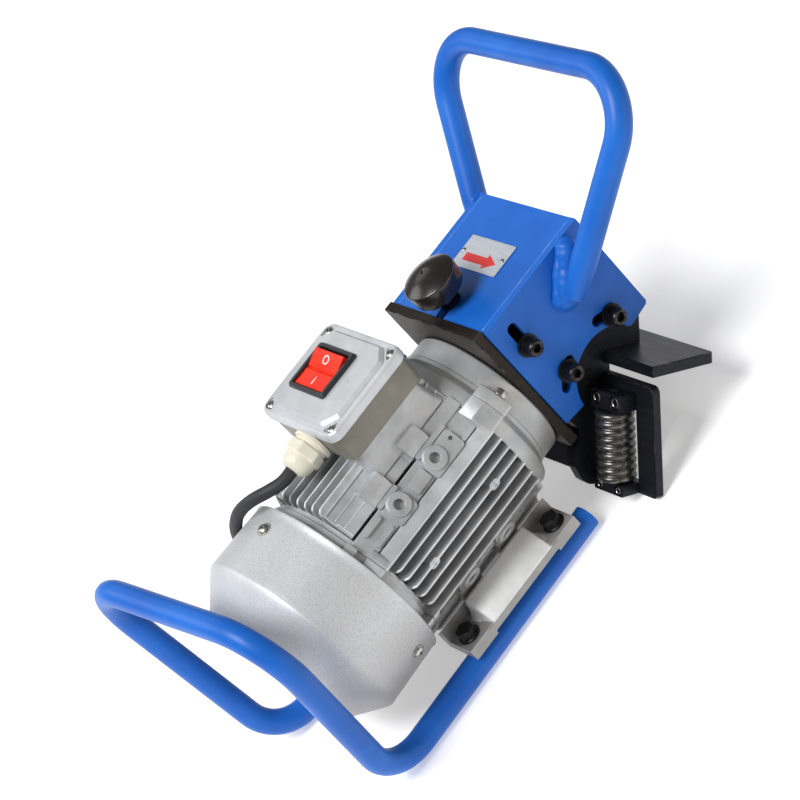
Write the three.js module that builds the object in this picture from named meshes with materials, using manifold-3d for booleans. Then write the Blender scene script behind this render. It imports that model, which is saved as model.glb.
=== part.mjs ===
// Portable plate-edge chamfering machine: a flange motor drives a cutter head inside a box that
// slides up and down on the motor's flange plate, and a tilting V guide leads the plate's edge.
// Millimetres. While it is built, X runs along the motor axis towards the head (zero at the rear
// face of the flange plate), Y to the left and Z up (zero on the motor axis). Names that end in
// right are on the -Y side, and names that end in left are on the +Y side.
import * as THREE from 'three';
import { mergeVertices } from 'three/addons/utils/BufferGeometryUtils.js';
import Module from 'manifold-3d';

// ---- Driving dimensions -------------------------------------------------------------------
const GAP = 0.3;                 // between touching pieces
const RUNNING = 0.05;            // radial clearance of a turning fit
const FINE = 32;                 // sides on large round shapes
const COARSE = 16;               // sides on small round shapes
const ARC_STEPS = 5;             // steps along each bend of a tube, and half of those on a cut arc

const SHAFT_HEIGHT = 80;         // motor axis above the underside of its feet
const FOOT_HOLE_X = -100.6;      // middle of the foot holes along X
const FOOT_HOLE_SPACING = 100;   // along X
const FOOT_HOLE_Y = 62.5;        // from the axis
const FOOT_HALF_LENGTH = 61;
const FOOT_Y = [40, 75];
const FOOT_TOE = 9.5;            // thickness under the bolt heads
const FOOT_HEEL = 25;            // height against the housing
const TUBE_RADIUS = 10;          // both bent tubes
const TUBE_BORE = 8;

const HOUSING_REAR = -162;
const HOUSING_FRONT = -38;
const HOUSING_RADIUS = 66;
const HOUSING_BORE = 62;
const FIN_TIP = 73.5;
const FIN_PITCH = 9.6;
const FIN_THICKNESS = 3;
const PAD_ANGLE = 37;            // degrees from horizontal to each row of cast pads
const PAD_X = [-121, -79];       // middles of the pads along X
const PEDESTAL_TOP = 82;         // flat face under the terminal box
const LUG_RADIUS = 76;

const COVER_RIM = -168.5;
const COVER_CREASE = -222;
const COVER_END = -250;
const COVER_RADIUS = 80;
const COVER_WALL = 1.8;

const FLANGE_PLATE = 8;          // thickness
const BOX_REAR = 8.4;            // head box, from the flange plate forwards
const BOX_FRONT = 113.5;
const BOX_HALF_WIDTH = 57.8;
const BOX_TOP = 73;
const BOX_PLATE = 6;             // thickness of the box's plates

const PIVOT_X = 60.5;            // axis that the V guide tilts about
const PIVOT_Z = -35.5;
const SLOT_RADIUS = 42.5;        // arc slots about the pivot
const SLOT_HALF_WIDTH = 4.5;
const REAR_SCREW_ANGLE = 126.8;  // degrees about the pivot, from +X towards +Z
const FRONT_SCREW_ANGLE = 52.4;
const TILT_BACK = 8.8;           // degrees of slot on each side of a guide screw
const TILT_FORWARD = 16.6;
const LIFT_SLOT_X = 25.5;
const LIFT_SCREW_Z = 39.5;
const LIFT_SLOT_Z = [33.5, 57.5]; // end centres of the lift slots

const GUIDE_TILT = 5;            // degrees that the V leans from plumb at rest
const APEX_X = 66;               // corner of the V's two working faces
const APEX_Z = -32;
const FENCE_HALF_LENGTH = 107;
const FENCE_MOUTH_HALF = 42;     // the cutter works through a mouth in both fences
const FENCE_MOUTH_REACH = 26;    // from the apex, along each fence
const UPPER_FENCE_REACH = [-6, 48.5];
const UPPER_FENCE = 8.3;         // thicknesses
const LOWER_FENCE = 7;
const LOWER_FENCE_TOP = 7;       // distances down from the apex
const LOWER_FENCE_END = 89.2;
const BRACKET_OUTSIDE = 51.5;    // Y of the bracket's outer face
const BRACKET = 8;
const BRACKET_ARC = { centre: [-1.97, 6.22], radius: 47.3 };
const BRACKET_NOTCH = 1.8;       // behind the apex, where the bracket clears the mouth
const ROLLER_Y = 71.5;
const ROLLER_RADIUS = 14.5;
const ROLLER_DEPTH = 7;          // roller axis behind the lower fence's back face
const ROLLER_SPAN = [27.8, 80.7]; // along the lower fence, from the apex
const ROLLER_COILS = 9;
const ROLLER_WINDOW = [54.5, 90]; // in Y
const ROLLER_BLOCK = [55, 88];   // in Y
const ROLLER_BLOCK_THICK = 14.7;
const PIN_RADIUS = 4;
const CUTTER_RADIUS = 38;
const CUTTER_X = [50.3, 70.3];

const KNOB_X = 24;
const KNOB_TOP = 109.5;
const TERMINAL_TOP = 106;
const LID_TOP = 117;
const ROCKER_X = -76;
const ROCKER_Z = 114;
const ROCKER_LEAN = 9;           // degrees, pressed in at its rear end

const GLAND_Z = 91.4;
const GLAND_X = [-143.5, -117.3];
const CORD_RADIUS = 4.75;
const COIL_X = -95;
const COIL_Y = 150;
const COIL_RADIUS = 52.25;       // middle of the turns
const COIL_LAYERS = 3;
const PLUG_RADIUS = 17;

const TUBE_AXIS = -SHAFT_HEIGHT - GAP - TUBE_RADIUS;
const FLOOR = TUBE_AXIS - TUBE_RADIUS;

// ---- Materials ----------------------------------------------------------------------------
const surface = (color, roughness, metalness) => ({ color, roughness, metalness });
const BLUE_PAINT = surface(0x1f5fc4, 0.4, 0.1);
const CAST_ALUMINIUM = surface(0xb4b8bc, 0.5, 0.6);
const COVER_PAINT = surface(0xc4c8cc, 0.4, 0.5);
const BLACK_OXIDE = surface(0x1c1e22, 0.45, 0.7);
const BROWNED_STEEL = surface(0x33291f, 0.5, 0.7);
const OILED_STEEL = surface(0x4a4642, 0.3, 0.9);
const BRIGHT_STEEL = surface(0xc9ccd0, 0.25, 1.0);
const CORE_STEEL = surface(0x6f7276, 0.5, 0.9);
const COPPER = surface(0x9a4a1c, 0.4, 0.8);
const BLACK_PLASTIC = surface(0x151515, 0.35, 0.0);
const RED_PLASTIC = surface(0xe0301a, 0.3, 0.0);
const CREAM_NYLON = surface(0xe8e4d2, 0.5, 0.0);
const CORD_RUBBER = surface(0x333438, 0.7, 0.0);
const LABEL_METAL = surface(0xc2c6ca, 0.4, 0.8);

// ---- Shape helpers ------------------------------------------------------------------------
const wasm = await Module();
wasm.setup();

const model = new THREE.Group();

function add(name, look, geometry) {
  const mesh = new THREE.Mesh(geometry, new THREE.MeshStandardMaterial(look));
  mesh.name = name;
  model.add(mesh);
  return mesh;
}

function toSolid(geometry) {
  const bare = geometry.clone();
  bare.deleteAttribute('normal');
  bare.deleteAttribute('uv');
  const merged = mergeVertices(bare, 1e-4);
  const corners = [];
  for (let i = 0; i < merged.index.count; i += 3) {
    const [a, b, c] = [0, 1, 2].map((k) => merged.index.getX(i + k));
    if (a !== b && b !== c && c !== a) corners.push(a, b, c);
  }
  return new wasm.Manifold(new wasm.Mesh({
    numProp: 3,
    vertProperties: new Float32Array(merged.attributes.position.array),
    triVerts: new Uint32Array(corners),
  }));
}

function toGeometry(solid) {
  const mesh = solid.getMesh();
  const geometry = new THREE.BufferGeometry();
  geometry.setAttribute('position', new THREE.BufferAttribute(new Float32Array(mesh.vertProperties), 3));
  geometry.setIndex(new THREE.BufferAttribute(new Uint32Array(mesh.triVerts), 1));
  geometry.computeVertexNormals();
  return geometry;
}

function joined(...pieces) {
  return toGeometry(pieces.map(toSolid).reduce((whole, piece) => whole.add(piece)));
}

function cut(body, ...tools) {
  return toGeometry(tools.map(toSolid).reduce((whole, tool) => whole.subtract(tool), toSolid(body)));
}

// A box from its lowest and highest corners.
function block([x0, y0, z0], [x1, y1, z1]) {
  const geometry = new THREE.BoxGeometry(x1 - x0, y1 - y0, z1 - z0);
  return geometry.translate((x0 + x1) / 2, (y0 + y1) / 2, (z0 + z1) / 2);
}

// A turned piece about X, Y or Z. Its profile is a list of [distance along the axis, radius],
// closed on itself or from axis to axis, drawn either way round.
function turned(axis, profile, sides = FINE) {
  const points = profile.map(([distance, radius]) => new THREE.Vector2(radius, distance));
  if (THREE.ShapeUtils.area(points) < 0) points.reverse();
  if (profile.every(([, radius]) => radius > 0)) points.push(points[0].clone());
  const geometry = new THREE.LatheGeometry(points, sides);
  if (axis === 'x') geometry.rotateZ(-Math.PI / 2);
  if (axis === 'z') geometry.rotateX(Math.PI / 2);
  return toGeometry(toSolid(geometry));
}

function rod(axis, radius, from, to, sides = COARSE) {
  return turned(axis, [[from, 0], [from, radius], [to, radius], [to, 0]], sides);
}

function ring(axis, inner, outer, from, to, sides = FINE) {
  return turned(axis, [[from, inner], [from, outer], [to, outer], [to, inner]], sides);
}

function outline(points) {
  return new THREE.Shape(points.map(([a, b]) => new THREE.Vector2(a, b)));
}

function extruded(shape, depth) {
  return new THREE.ExtrudeGeometry(shape, { depth, bevelEnabled: false, curveSegments: ARC_STEPS });
}

// A flat piece drawn in X and Z, and thickened along Y.
function plateY(shape, y0, y1) {
  const geometry = extruded(shape, y1 - y0);
  return geometry.rotateX(Math.PI / 2).translate(0, y1, 0);
}

// A section drawn in Y and Z, and run along X.
function barX(shape, x0, x1) {
  const geometry = extruded(shape, x1 - x0);
  const turn = new THREE.Matrix4().makeBasis(
    new THREE.Vector3(0, 1, 0), new THREE.Vector3(0, 0, 1), new THREE.Vector3(1, 0, 0));
  return geometry.applyMatrix4(turn).translate(x0, 0, 0);
}

// A section drawn in X and Y, and raised along Z.
function plateZ(shape, z0, z1) {
  return extruded(shape, z1 - z0).translate(0, 0, z0);
}

// A rectangle with its four corners cut off.
function clipped(x0, y0, x1, y1, corner) {
  return outline([
    [x0 + corner, y0], [x1 - corner, y0], [x1, y0 + corner], [x1, y1 - corner],
    [x1 - corner, y1], [x0 + corner, y1], [x0, y1 - corner], [x0, y0 + corner]]);
}

// A slot with round ends, as a hole for a shape.
function slot(a, b, halfWidth) {
  const heading = Math.atan2(b[1] - a[1], b[0] - a[0]);
  const path = new THREE.Path();
  path.absarc(b[0], b[1], halfWidth, heading - Math.PI / 2, heading + Math.PI / 2);
  path.absarc(a[0], a[1], halfWidth, heading + Math.PI / 2, heading + 3 * Math.PI / 2);
  path.closePath();
  return path;
}

// A path of straight runs with an arc at each corner, walked in as few steps as it needs.
class BentPath extends THREE.Curve {
  constructor(corners, radii) {
    super();
    this.stations = [{ point: corners[0], tangent: corners[1].clone().sub(corners[0]).normalize() }];
    for (let i = 1; i < corners.length - 1; i += 1) {
      this.bend(corners[i - 1], corners[i], corners[i + 1], radii[i - 1]);
    }
    const last = corners[corners.length - 1];
    const heading = last.clone().sub(corners[corners.length - 2]).normalize();
    this.stations.push({ point: last, tangent: heading });
  }

  bend(before, corner, after, radius) {
    const arriving = corner.clone().sub(before).normalize();
    const leaving = after.clone().sub(corner).normalize();
    const angle = arriving.angleTo(leaving);
    const start = corner.clone().addScaledVector(arriving, -radius * Math.tan(angle / 2));
    const inwards = leaving.clone().addScaledVector(arriving, -Math.cos(angle)).normalize();
    for (let k = 0; k <= ARC_STEPS; k += 1) {
      const turn = angle * k / ARC_STEPS;
      const point = start.clone()
        .addScaledVector(arriving, radius * Math.sin(turn))
        .addScaledVector(inwards, radius * (1 - Math.cos(turn)));
      const tangent = arriving.clone().multiplyScalar(Math.cos(turn))
        .addScaledVector(inwards, Math.sin(turn));
      this.stations.push({ point, tangent });
    }
  }

  station(u) {
    return this.stations[Math.round(u * (this.stations.length - 1))];
  }

  getPointAt(u) {
    return this.station(u).point.clone();
  }

  getTangentAt(u) {
    return this.station(u).tangent.clone();
  }
}

// A round tube along a path; a bore of zero makes it solid.
function tube(path, steps, radius, bore, sides) {
  const circle = (r) => Array.from({ length: sides }, (_, k) => new THREE.Vector2(
    r * Math.cos(2 * Math.PI * k / sides), r * Math.sin(2 * Math.PI * k / sides)));
  const section = new THREE.Shape(circle(radius));
  if (bore > 0) section.holes.push(new THREE.Path(circle(bore)));
  return toGeometry(toSolid(new THREE.ExtrudeGeometry(section, { steps, extrudePath: path })));
}

const SIDES = [['right', -1], ['left', 1]];
const radians = THREE.MathUtils.degToRad;

// A stretch of Y given by its distances from the middle, on one side.
function span(side, [near, far]) {
  return side < 0 ? [-far, -near] : [near, far];
}

// ---- Motor --------------------------------------------------------------------------------
function addHousing() {
  const pieces = [rod('x', HOUSING_RADIUS, HOUSING_REAR, HOUSING_FRONT, FINE)];
  for (let k = -3; k <= 3; k += 1) {
    const centre = k * FIN_PITCH;
    const low = centre - FIN_THICKNESS / 2;
    const high = centre + FIN_THICKNESS / 2;
    pieces.push(block([HOUSING_REAR, -FIN_TIP, low], [HOUSING_FRONT, FIN_TIP, high]));
    pieces.push(block([HOUSING_REAR, low, -FIN_TIP], [HOUSING_FRONT, high, FIN_TIP]));
  }
  const quarters = [PAD_ANGLE, 180 - PAD_ANGLE, 180 + PAD_ANGLE, -PAD_ANGLE];
  for (const angle of quarters) {
    const parts = [block([HOUSING_REAR, 50, -11], [HOUSING_FRONT, 69, 11])];
    for (const x of PAD_X) {
      parts.push(block([x - 14, 50, -13], [x + 14, 73, 13]));
      parts.push(rod('y', 9, 60, 74.5).translate(x, 0, 0));
    }
    pieces.push(joined(...parts).rotateX(radians(angle)));
  }
  const pedestal = clipped(-114, -40, -42, 40, 5);
  pieces.push(plateZ(pedestal, 50, PEDESTAL_TOP));
  const wireWay = block([-96, -14, 40], [-60, 14, 90]);
  const bore = rod('x', HOUSING_BORE, HOUSING_REAR - 1, HOUSING_FRONT + 1, FINE);
  add('motor_housing', CAST_ALUMINIUM, cut(joined(...pieces), bore, wireWay));
}

function shieldLugs(x0, x1) {
  const lugs = [PAD_ANGLE, 180 - PAD_ANGLE, 180 + PAD_ANGLE, -PAD_ANGLE];
  return lugs.map((angle) => block([x0, 66, -9], [x1, LUG_RADIUS, 9]).rotateX(radians(angle)));
}

function addEndShields() {
  const frontBack = HOUSING_FRONT + GAP;
  const front = turned('x', [
    [3, 11], [3, 39.2], [-GAP, 39.2], [-GAP, 59], [-1.3, 60], [-18, 60], [-20, 62.5], [-24, 62.5],
    [-26, 69], [frontBack, 69], [frontBack, 61.5], [-29, 61.5], [-26, 58], [-26, 28], [-28, 28],
    [-28, 23.8], [-8, 23.8], [-8, 11]]);
  add('front_end_shield', CAST_ALUMINIUM, joined(front, ...shieldLugs(frontBack, -27)));
  const rearFront = HOUSING_REAR - GAP;
  const rear = turned('x', [
    [rearFront, 61.5], [rearFront, 69], [-174, 69], [-174, 9.5], [-172, 9.5], [-172, 20.3],
    [-159, 20.3], [-159, 26], [-170, 26], [-170, 58], [-166, 61.5]]);
  add('rear_end_shield', CAST_ALUMINIUM, joined(rear, ...shieldLugs(COVER_RIM + GAP, rearFront)));
}

function addMotorInside() {
  add('front_bearing', BRIGHT_STEEL, ring('x', 10 + RUNNING + 0.02, 23.5, -22, -8.3));
  add('rear_bearing', BRIGHT_STEEL, ring('x', 8.5 + RUNNING + 0.02, 20, -171.7, -159.7));
  add('stator_core', CORE_STEEL, ring('x', 38.5, 61.6, -138, -68));
  add('front_winding', COPPER, ring('x', 42, 57, -67.7, -50));
  add('rear_winding', COPPER, ring('x', 42, 57, -156, -138.3));
  add('motor_shaft', BRIGHT_STEEL, turned('x', [
    [-214, 0], [-214, 7.5], [-178, 7.5], [-178, 8.5], [-158, 8.5], [-158, 12], [-26, 12],
    [-26, 10], [-6, 10], [-6, 9.5], [40, 9.5], [40, 0]]));
  add('rotor_core', CORE_STEEL, turned('x', [
    [-137, 12.3], [-137, 24], [-144, 26], [-144, 35], [-137, 38], [-69, 38], [-62, 35],
    [-62, 26], [-69, 24], [-69, 12.3]]));
}

function addFan() {
  const hub = ring('x', 7.8, 15, -212, -184);
  const disc = ring('x', 14, 58, -187, -184.5);
  const blades = [];
  for (let k = 0; k < 8; k += 1) {
    blades.push(block([-208, 13, -1.3], [-186, 66, 1.3]).rotateX(radians(45 * k)));
  }
  add('cooling_fan', BLACK_PLASTIC, joined(hub, disc, ...blades));
}

function addFanCover() {
  const shell = turned('x', [
    [COVER_END + COVER_WALL, 0], [COVER_END + COVER_WALL, 60],
    [COVER_CREASE + 0.5, COVER_RADIUS - COVER_WALL], [COVER_RIM, COVER_RADIUS - 2 - COVER_WALL],
    [COVER_RIM, COVER_RADIUS - 2], [COVER_CREASE, COVER_RADIUS], [COVER_END, 61], [COVER_END, 0]]);
  const slots = [];
  for (let k = 0; k < 12; k += 1) {
    slots.push(block([COVER_END - 1, 18, -3], [COVER_END + 3, 52, 3]).rotateX(radians(30 * k)));
  }
  add('fan_cover', COVER_PAINT, cut(shell, ...slots));
}

// ---- Terminal box, switch and gland -------------------------------------------------------
function addTerminalBox() {
  const outside = plateZ(clipped(-117, -43.5, -39.5, 43.5, 6), PEDESTAL_TOP + GAP, TERMINAL_TOP);
  const inside = block([-113, -39.5, PEDESTAL_TOP + 4], [-43.5, 39.5, TERMINAL_TOP + 1]);
  const wireWay = block([-94, -12, PEDESTAL_TOP - 2], [-62, 12, PEDESTAL_TOP + 8]);
  const glandHole = rod('x', 8.3, -120, -110).translate(0, 0, GLAND_Z);
  add('terminal_box', CAST_ALUMINIUM, cut(outside, inside, wireWay, glandHole));
  const rim = plateZ(clipped(-119, -46.4, -37.5, 46.4, 7), TERMINAL_TOP + GAP, LID_TOP - 3);
  const panel = plateZ(clipped(-113, -41, -43, 41, 15), LID_TOP - 4, LID_TOP);
  const opening = block([ROCKER_X - 17, -11.5, TERMINAL_TOP - 6], [ROCKER_X + 17, 25.5, LID_TOP + 3]);
  add('terminal_lid', CAST_ALUMINIUM, cut(joined(rim, panel), opening));
}

function addSwitch() {
  const frame = block([ROCKER_X - 19.7, -15.2, LID_TOP + GAP], [ROCKER_X + 19.7, 29.2, LID_TOP + 3.3]);
  const mouth = block([ROCKER_X - 16.2, -11.5, LID_TOP - 7], [ROCKER_X + 16.2, 25.5, LID_TOP + 8]);
  add('switch_bezel', BLACK_PLASTIC, cut(frame, mouth));
  const side = outline([[-14.5, -6], [14.5, -6], [14.5, 7], [0, 3.5], [-14.5, 7]]);
  const rocker = add('switch_rocker', RED_PLASTIC, plateY(side, -10.8, 24.8));
  rocker.rotation.y = radians(-ROCKER_LEAN);
  rocker.position.set(ROCKER_X, 0, ROCKER_Z);
}

function addGland() {
  const [outer, wall] = GLAND_X;
  const turnedBody = turned('x', [
    [-112, 6], [-112, 8], [wall, 8], [wall, 14.5], [wall - 4, 14.5], [wall - 4, 12.5],
    [wall - 6, 12.5], [wall - 6, 6]], COARSE);
  add('gland_body', CREAM_NYLON, turnedBody.translate(0, 0, GLAND_Z));
  const nut = turned('x', [
    [wall - 6.3, 6], [wall - 6.3, 14], [wall - 17, 14], [outer + 1, 11.5], [outer, 9.5],
    [outer, CORD_RADIUS + GAP]], 12);
  add('gland_nut', CREAM_NYLON, nut.translate(0, 0, GLAND_Z));
}

// ---- Feet and the bent tube under them ----------------------------------------------------
function addFeet() {
  const x0 = FOOT_HOLE_X - FOOT_HALF_LENGTH;
  const x1 = FOOT_HOLE_X + FOOT_HALF_LENGTH;
  const [inner, outer] = FOOT_Y;
  const sole = -SHAFT_HEIGHT;
  const section = outline([
    [inner, sole], [outer, sole], [outer, sole + 9], [outer - 7, sole + 15],
    [inner + 14, sole + FOOT_HEEL], [inner, sole + FOOT_HEEL]]);
  for (const [name, side] of SIDES) {
    const web = barX(section, x0 + 27, x1 - 27);
    const base = block([x0, inner, sole], [x1, outer, sole + FOOT_TOE]);
    const heel = block([x0, inner, sole], [x1, inner + 9, sole + FOOT_HEEL]);
    const tools = [rod('x', LUG_RADIUS + 0.8, x0 - 1, x1 + 1, FINE)];
    for (const end of [-1, 1]) {
      const x = FOOT_HOLE_X + end * FOOT_HOLE_SPACING / 2;
      tools.push(rod('z', 4.4, sole - 1, sole + 11).translate(x, FOOT_HOLE_Y, 0));
    }
    tools.push(block([x0 + 24, inner - 1, sole - 1], [x1 - 24, outer + 1, sole + 2.5]));
    const foot = cut(joined(web, base, heel), ...tools);
    add('foot_' + name, CAST_ALUMINIUM, side < 0 ? mirrored(foot) : foot);
  }
}

// The same shape on the other side of the X-Z plane.
function mirrored(geometry) {
  return toGeometry(toSolid(geometry).scale([1, -1, 1]));
}

function addFootBolts() {
  const seat = -SHAFT_HEIGHT + FOOT_TOE + GAP;
  for (const [name, side] of SIDES) {
    for (const [end, direction] of [['front', 1], ['rear', -1]]) {
      const x = FOOT_HOLE_X + direction * FOOT_HOLE_SPACING / 2;
      const flange = turned('z', [
        [seat - 17, 0], [seat - 17, 4], [seat, 4], [seat, 8.6], [seat + 1.6, 8.6],
        [seat + 1.6, 0]], COARSE);
      const head = rod('z', 7.5, seat + 1, seat + 8, 6);
      const bolt = joined(flange, head).translate(x, side * FOOT_HOLE_Y, 0);
      add('foot_bolt_' + end + '_' + name, BLACK_OXIDE, bolt);
    }
  }
}

// One bent tube: a rail under each foot, two legs up behind the fan cover and a bar across.
function addSkidFrame() {
  const corners = [
    [-28, -FOOT_HOLE_Y, TUBE_AXIS], [-262, -66, TUBE_AXIS], [-262, -111, 98],
    [-284, 111, 103], [-276, 65, TUBE_AXIS], [-28, FOOT_HOLE_Y, TUBE_AXIS],
  ].map((corner) => new THREE.Vector3(...corner));
  const path = new BentPath(corners, [34, 42, 42, 34]);
  const bent = tube(path, path.stations.length - 1, TUBE_RADIUS, TUBE_BORE, 12);
  const holes = [];
  for (const [, side] of SIDES) {
    for (const end of [-1, 1]) {
      const x = FOOT_HOLE_X + end * FOOT_HOLE_SPACING / 2;
      const y = side * (FOOT_HOLE_Y + 0.6);
      holes.push(rod('z', 5.2, TUBE_AXIS, TUBE_AXIS + 12).translate(x, y, 0));
    }
  }
  add('skid_frame', BLUE_PAINT, cut(bent, ...holes));
}

// ---- Flange plate and lifting gear --------------------------------------------------------
function addFlangePlate() {
  const shape = outline([[-56, -46.5], [56, -46.5], [56, 76.6], [-56, 76.6]]);
  add('flange_plate', BROWNED_STEEL, cut(barX(shape, 0, FLANGE_PLATE), rod('x', 40, -1, 20, FINE)));
}

function addLiftBlock() {
  const half = BOX_HALF_WIDTH - BOX_PLATE - GAP;
  const body = block([FLANGE_PLATE + GAP, -half, 28], [40, half, 48]);
  const thread = rod('z', 5.3, 20, 60).translate(KNOB_X, 0, 0);
  const ends = [-1, 1].map((side) =>
    block([LIFT_SLOT_X - 4.3, side > 0 ? 28 : -60, LIFT_SCREW_Z - 4.3],
      [LIFT_SLOT_X + 4.3, side > 0 ? 60 : -28, LIFT_SCREW_Z + 4.3]));
  add('lift_block', BLACK_OXIDE, cut(body, thread, ...ends));
}

// A socket screw with its washer, lying along Y with its head outside the right-hand plate.
function socketScrew(shankEnd) {
  const face = BOX_HALF_WIDTH + GAP;
  return turned('y', [
    [-shankEnd, 0], [-shankEnd, 3.9], [-face, 3.9], [-face, 8.6], [-face - 2, 8.6],
    [-face - 2, 7.2], [-face - 4.2, 7.2], [-face - 4.2, 6.5], [-face - 12, 6.5],
    [-face - 12, 3.4], [-face - 8, 3.4], [-face - 8, 0]], COARSE);
}

function addScrews() {
  const angles = [['rear', REAR_SCREW_ANGLE], ['front', FRONT_SCREW_ANGLE]];
  for (const [name, side] of SIDES) {
    const place = (geometry, x, z) => {
      geometry.translate(x, 0, z);
      return side < 0 ? geometry : mirrored(geometry);
    };
    add('lift_screw_' + name, BLACK_OXIDE, place(socketScrew(30), LIFT_SLOT_X, LIFT_SCREW_Z));
    for (const [end, angle] of angles) {
      const x = PIVOT_X + SLOT_RADIUS * Math.cos(radians(angle));
      const z = PIVOT_Z + SLOT_RADIUS * Math.sin(radians(angle));
      add('guide_screw_' + end + '_' + name, BLACK_OXIDE, place(socketScrew(43), x, z));
    }
  }
}

// ---- Head box -----------------------------------------------------------------------------
function sidePlateShape() {
  const reach = 34;
  const start = radians(32);
  const end = radians(173);
  const shape = new THREE.Shape();
  shape.moveTo(BOX_REAR, BOX_TOP);
  shape.lineTo(BOX_REAR, -29.5);
  shape.lineTo(24, -31.5);
  shape.absarc(PIVOT_X, PIVOT_Z, reach, end, start, true);
  shape.quadraticCurveTo(91.5, -22.6, 96, -22.4);
  shape.lineTo(BOX_FRONT, -20.8);
  shape.lineTo(BOX_FRONT, BOX_TOP);
  shape.closePath();
  const [low, high] = LIFT_SLOT_Z;
  shape.holes.push(slot([LIFT_SLOT_X, low], [LIFT_SLOT_X, high], SLOT_HALF_WIDTH));
  shape.holes.push(arcSlot(REAR_SCREW_ANGLE));
  shape.holes.push(arcSlot(FRONT_SCREW_ANGLE));
  return shape;
}

function arcSlot(screwAngle) {
  const from = radians(screwAngle - TILT_BACK);
  const to = radians(screwAngle + TILT_FORWARD);
  const at = (angle) => [PIVOT_X + SLOT_RADIUS * Math.cos(angle), PIVOT_Z + SLOT_RADIUS * Math.sin(angle)];
  const path = new THREE.Path();
  path.absarc(PIVOT_X, PIVOT_Z, SLOT_RADIUS + SLOT_HALF_WIDTH, from, to);
  path.absarc(...at(to), SLOT_HALF_WIDTH, to, to + Math.PI);
  path.absarc(PIVOT_X, PIVOT_Z, SLOT_RADIUS - SLOT_HALF_WIDTH, to, from, true);
  path.absarc(...at(from), SLOT_HALF_WIDTH, from + Math.PI, from + 2 * Math.PI);
  path.closePath();
  return path;
}

function addHeadBox() {
  const inside = BOX_HALF_WIDTH - BOX_PLATE;
  const half = inside - GAP;
  for (const [name, side] of SIDES) {
    const [y0, y1] = span(side, [inside, BOX_HALF_WIDTH]);
    add('side_plate_' + name, BLUE_PAINT, toGeometry(toSolid(plateY(sidePlateShape(), y0, y1))));
  }
  const top = block([BOX_REAR, -half, BOX_TOP - BOX_PLATE], [BOX_FRONT, half, BOX_TOP]);
  const mouth = block([BOX_REAR - 1, -4.8, 60], [KNOB_X, 4.8, 80]);
  const mouthEnd = rod('z', 4.8, 60, 80).translate(KNOB_X, 0, 0);
  add('top_plate', BLUE_PAINT, cut(top, mouth, mouthEnd));
  const front = block([BOX_FRONT - 4.5, -half, -17], [BOX_FRONT, half, BOX_TOP - BOX_PLATE - GAP]);
  add('front_plate', BLUE_PAINT, front);
  const label = block([51.5, -24, BOX_TOP + GAP], [79, 29, BOX_TOP + GAP + 0.8]);
  add('direction_plate', LABEL_METAL, label);
}

// The bent grip. Its left leg is welded on further forward than its right one.
function addFrontHandle() {
  const foot = BOX_HALF_WIDTH + GAP + TUBE_RADIUS;
  const corners = [
    [71.6, -foot, 40.6], [188.3, -124.6, 152.4], [188.3, 119, 152.4], [98, foot, 40.6],
  ].map((corner) => new THREE.Vector3(...corner));
  const path = new BentPath(corners, [38, 38]);
  const bent = tube(path, path.stations.length - 1, TUBE_RADIUS, TUBE_BORE, 12);
  add('front_handle', BLUE_PAINT, bent);
}

function addKnob() {
  const under = BOX_TOP - BOX_PLATE - GAP;
  const over = BOX_TOP + GAP;
  const stud = turned('z', [
    [36.5, 0], [36.5, 5], [under - 4, 5], [under - 4, 8], [under, 8], [under, 4.4], [over, 4.4],
    [over, 8], [over + 3.4, 8], [over + 3.4, 5], [94, 5], [94, 0]], COARSE);
  add('lift_stud', BLACK_OXIDE, stud.translate(KNOB_X, 0, 0));
  const cap = [[95, 0], [95, 5.3], [over + 4, 5.3], [over + 4, 7.5], [86, 8.5], [86.5, 18.5],
    [88, 20.5], [98, 21], [101, 20], [104.5, 16], [107.5, 10], [109, 5], [KNOB_TOP, 0]];
  add('lift_knob', BLACK_PLASTIC, turned('z', cap, COARSE).translate(KNOB_X, 0, 0));
}

// ---- Cutter -------------------------------------------------------------------------------
function addCutter() {
  add('cutter_arbor', BRIGHT_STEEL, turned('x', [
    [10, 9.8], [10, 14], [42, 14], [42, 22], [50, 22], [50, 11], [70, 11], [70, 5.4],
    [44, 5.4], [44, 9.8]], COARSE));
  add('arbor_bolt', BLACK_OXIDE, turned('x', [
    [46, 0], [46, 5], [70.6, 5], [70.6, 16], [74, 16], [74, 9], [82, 9], [82, 0]], COARSE));
  const [x0, x1] = CUTTER_X;
  const hub = ring('x', 11.3, 33, x0, x1);
  const teeth = [];
  const gullets = [];
  for (let k = 0; k < 4; k += 1) {
    const turn = radians(90 * k);
    teeth.push(block([x0 + 1, 24, -5], [x1 - 1, CUTTER_RADIUS, -0.5]).rotateX(turn));
    gullets.push(block([x0 - 1, 25, -0.5], [x1 + 1, 40, 9]).rotateX(turn));
  }
  add('cutter_head', OILED_STEEL, joined(cut(hub, ...gullets), ...teeth));
}

// ---- V guide ------------------------------------------------------------------------------
// Guide pieces are drawn with the apex at zero: first number outwards along the upper fence,
// second number downwards along the lower fence.
const upperWay = new THREE.Vector2(Math.cos(radians(GUIDE_TILT - 45)), Math.sin(radians(GUIDE_TILT - 45)));
const lowerWay = new THREE.Vector2(upperWay.y, -upperWay.x);

function fromGuide([p, q]) {
  return [APEX_X + p * upperWay.x + q * lowerWay.x, APEX_Z + p * upperWay.y + q * lowerWay.y];
}

function guideBlock([p0, y0, q0], [p1, y1, q1]) {
  const corners = [[p0, q0], [p1, q0], [p1, q1], [p0, q1]].map(fromGuide);
  return plateY(outline(corners), y0, y1);
}

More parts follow.
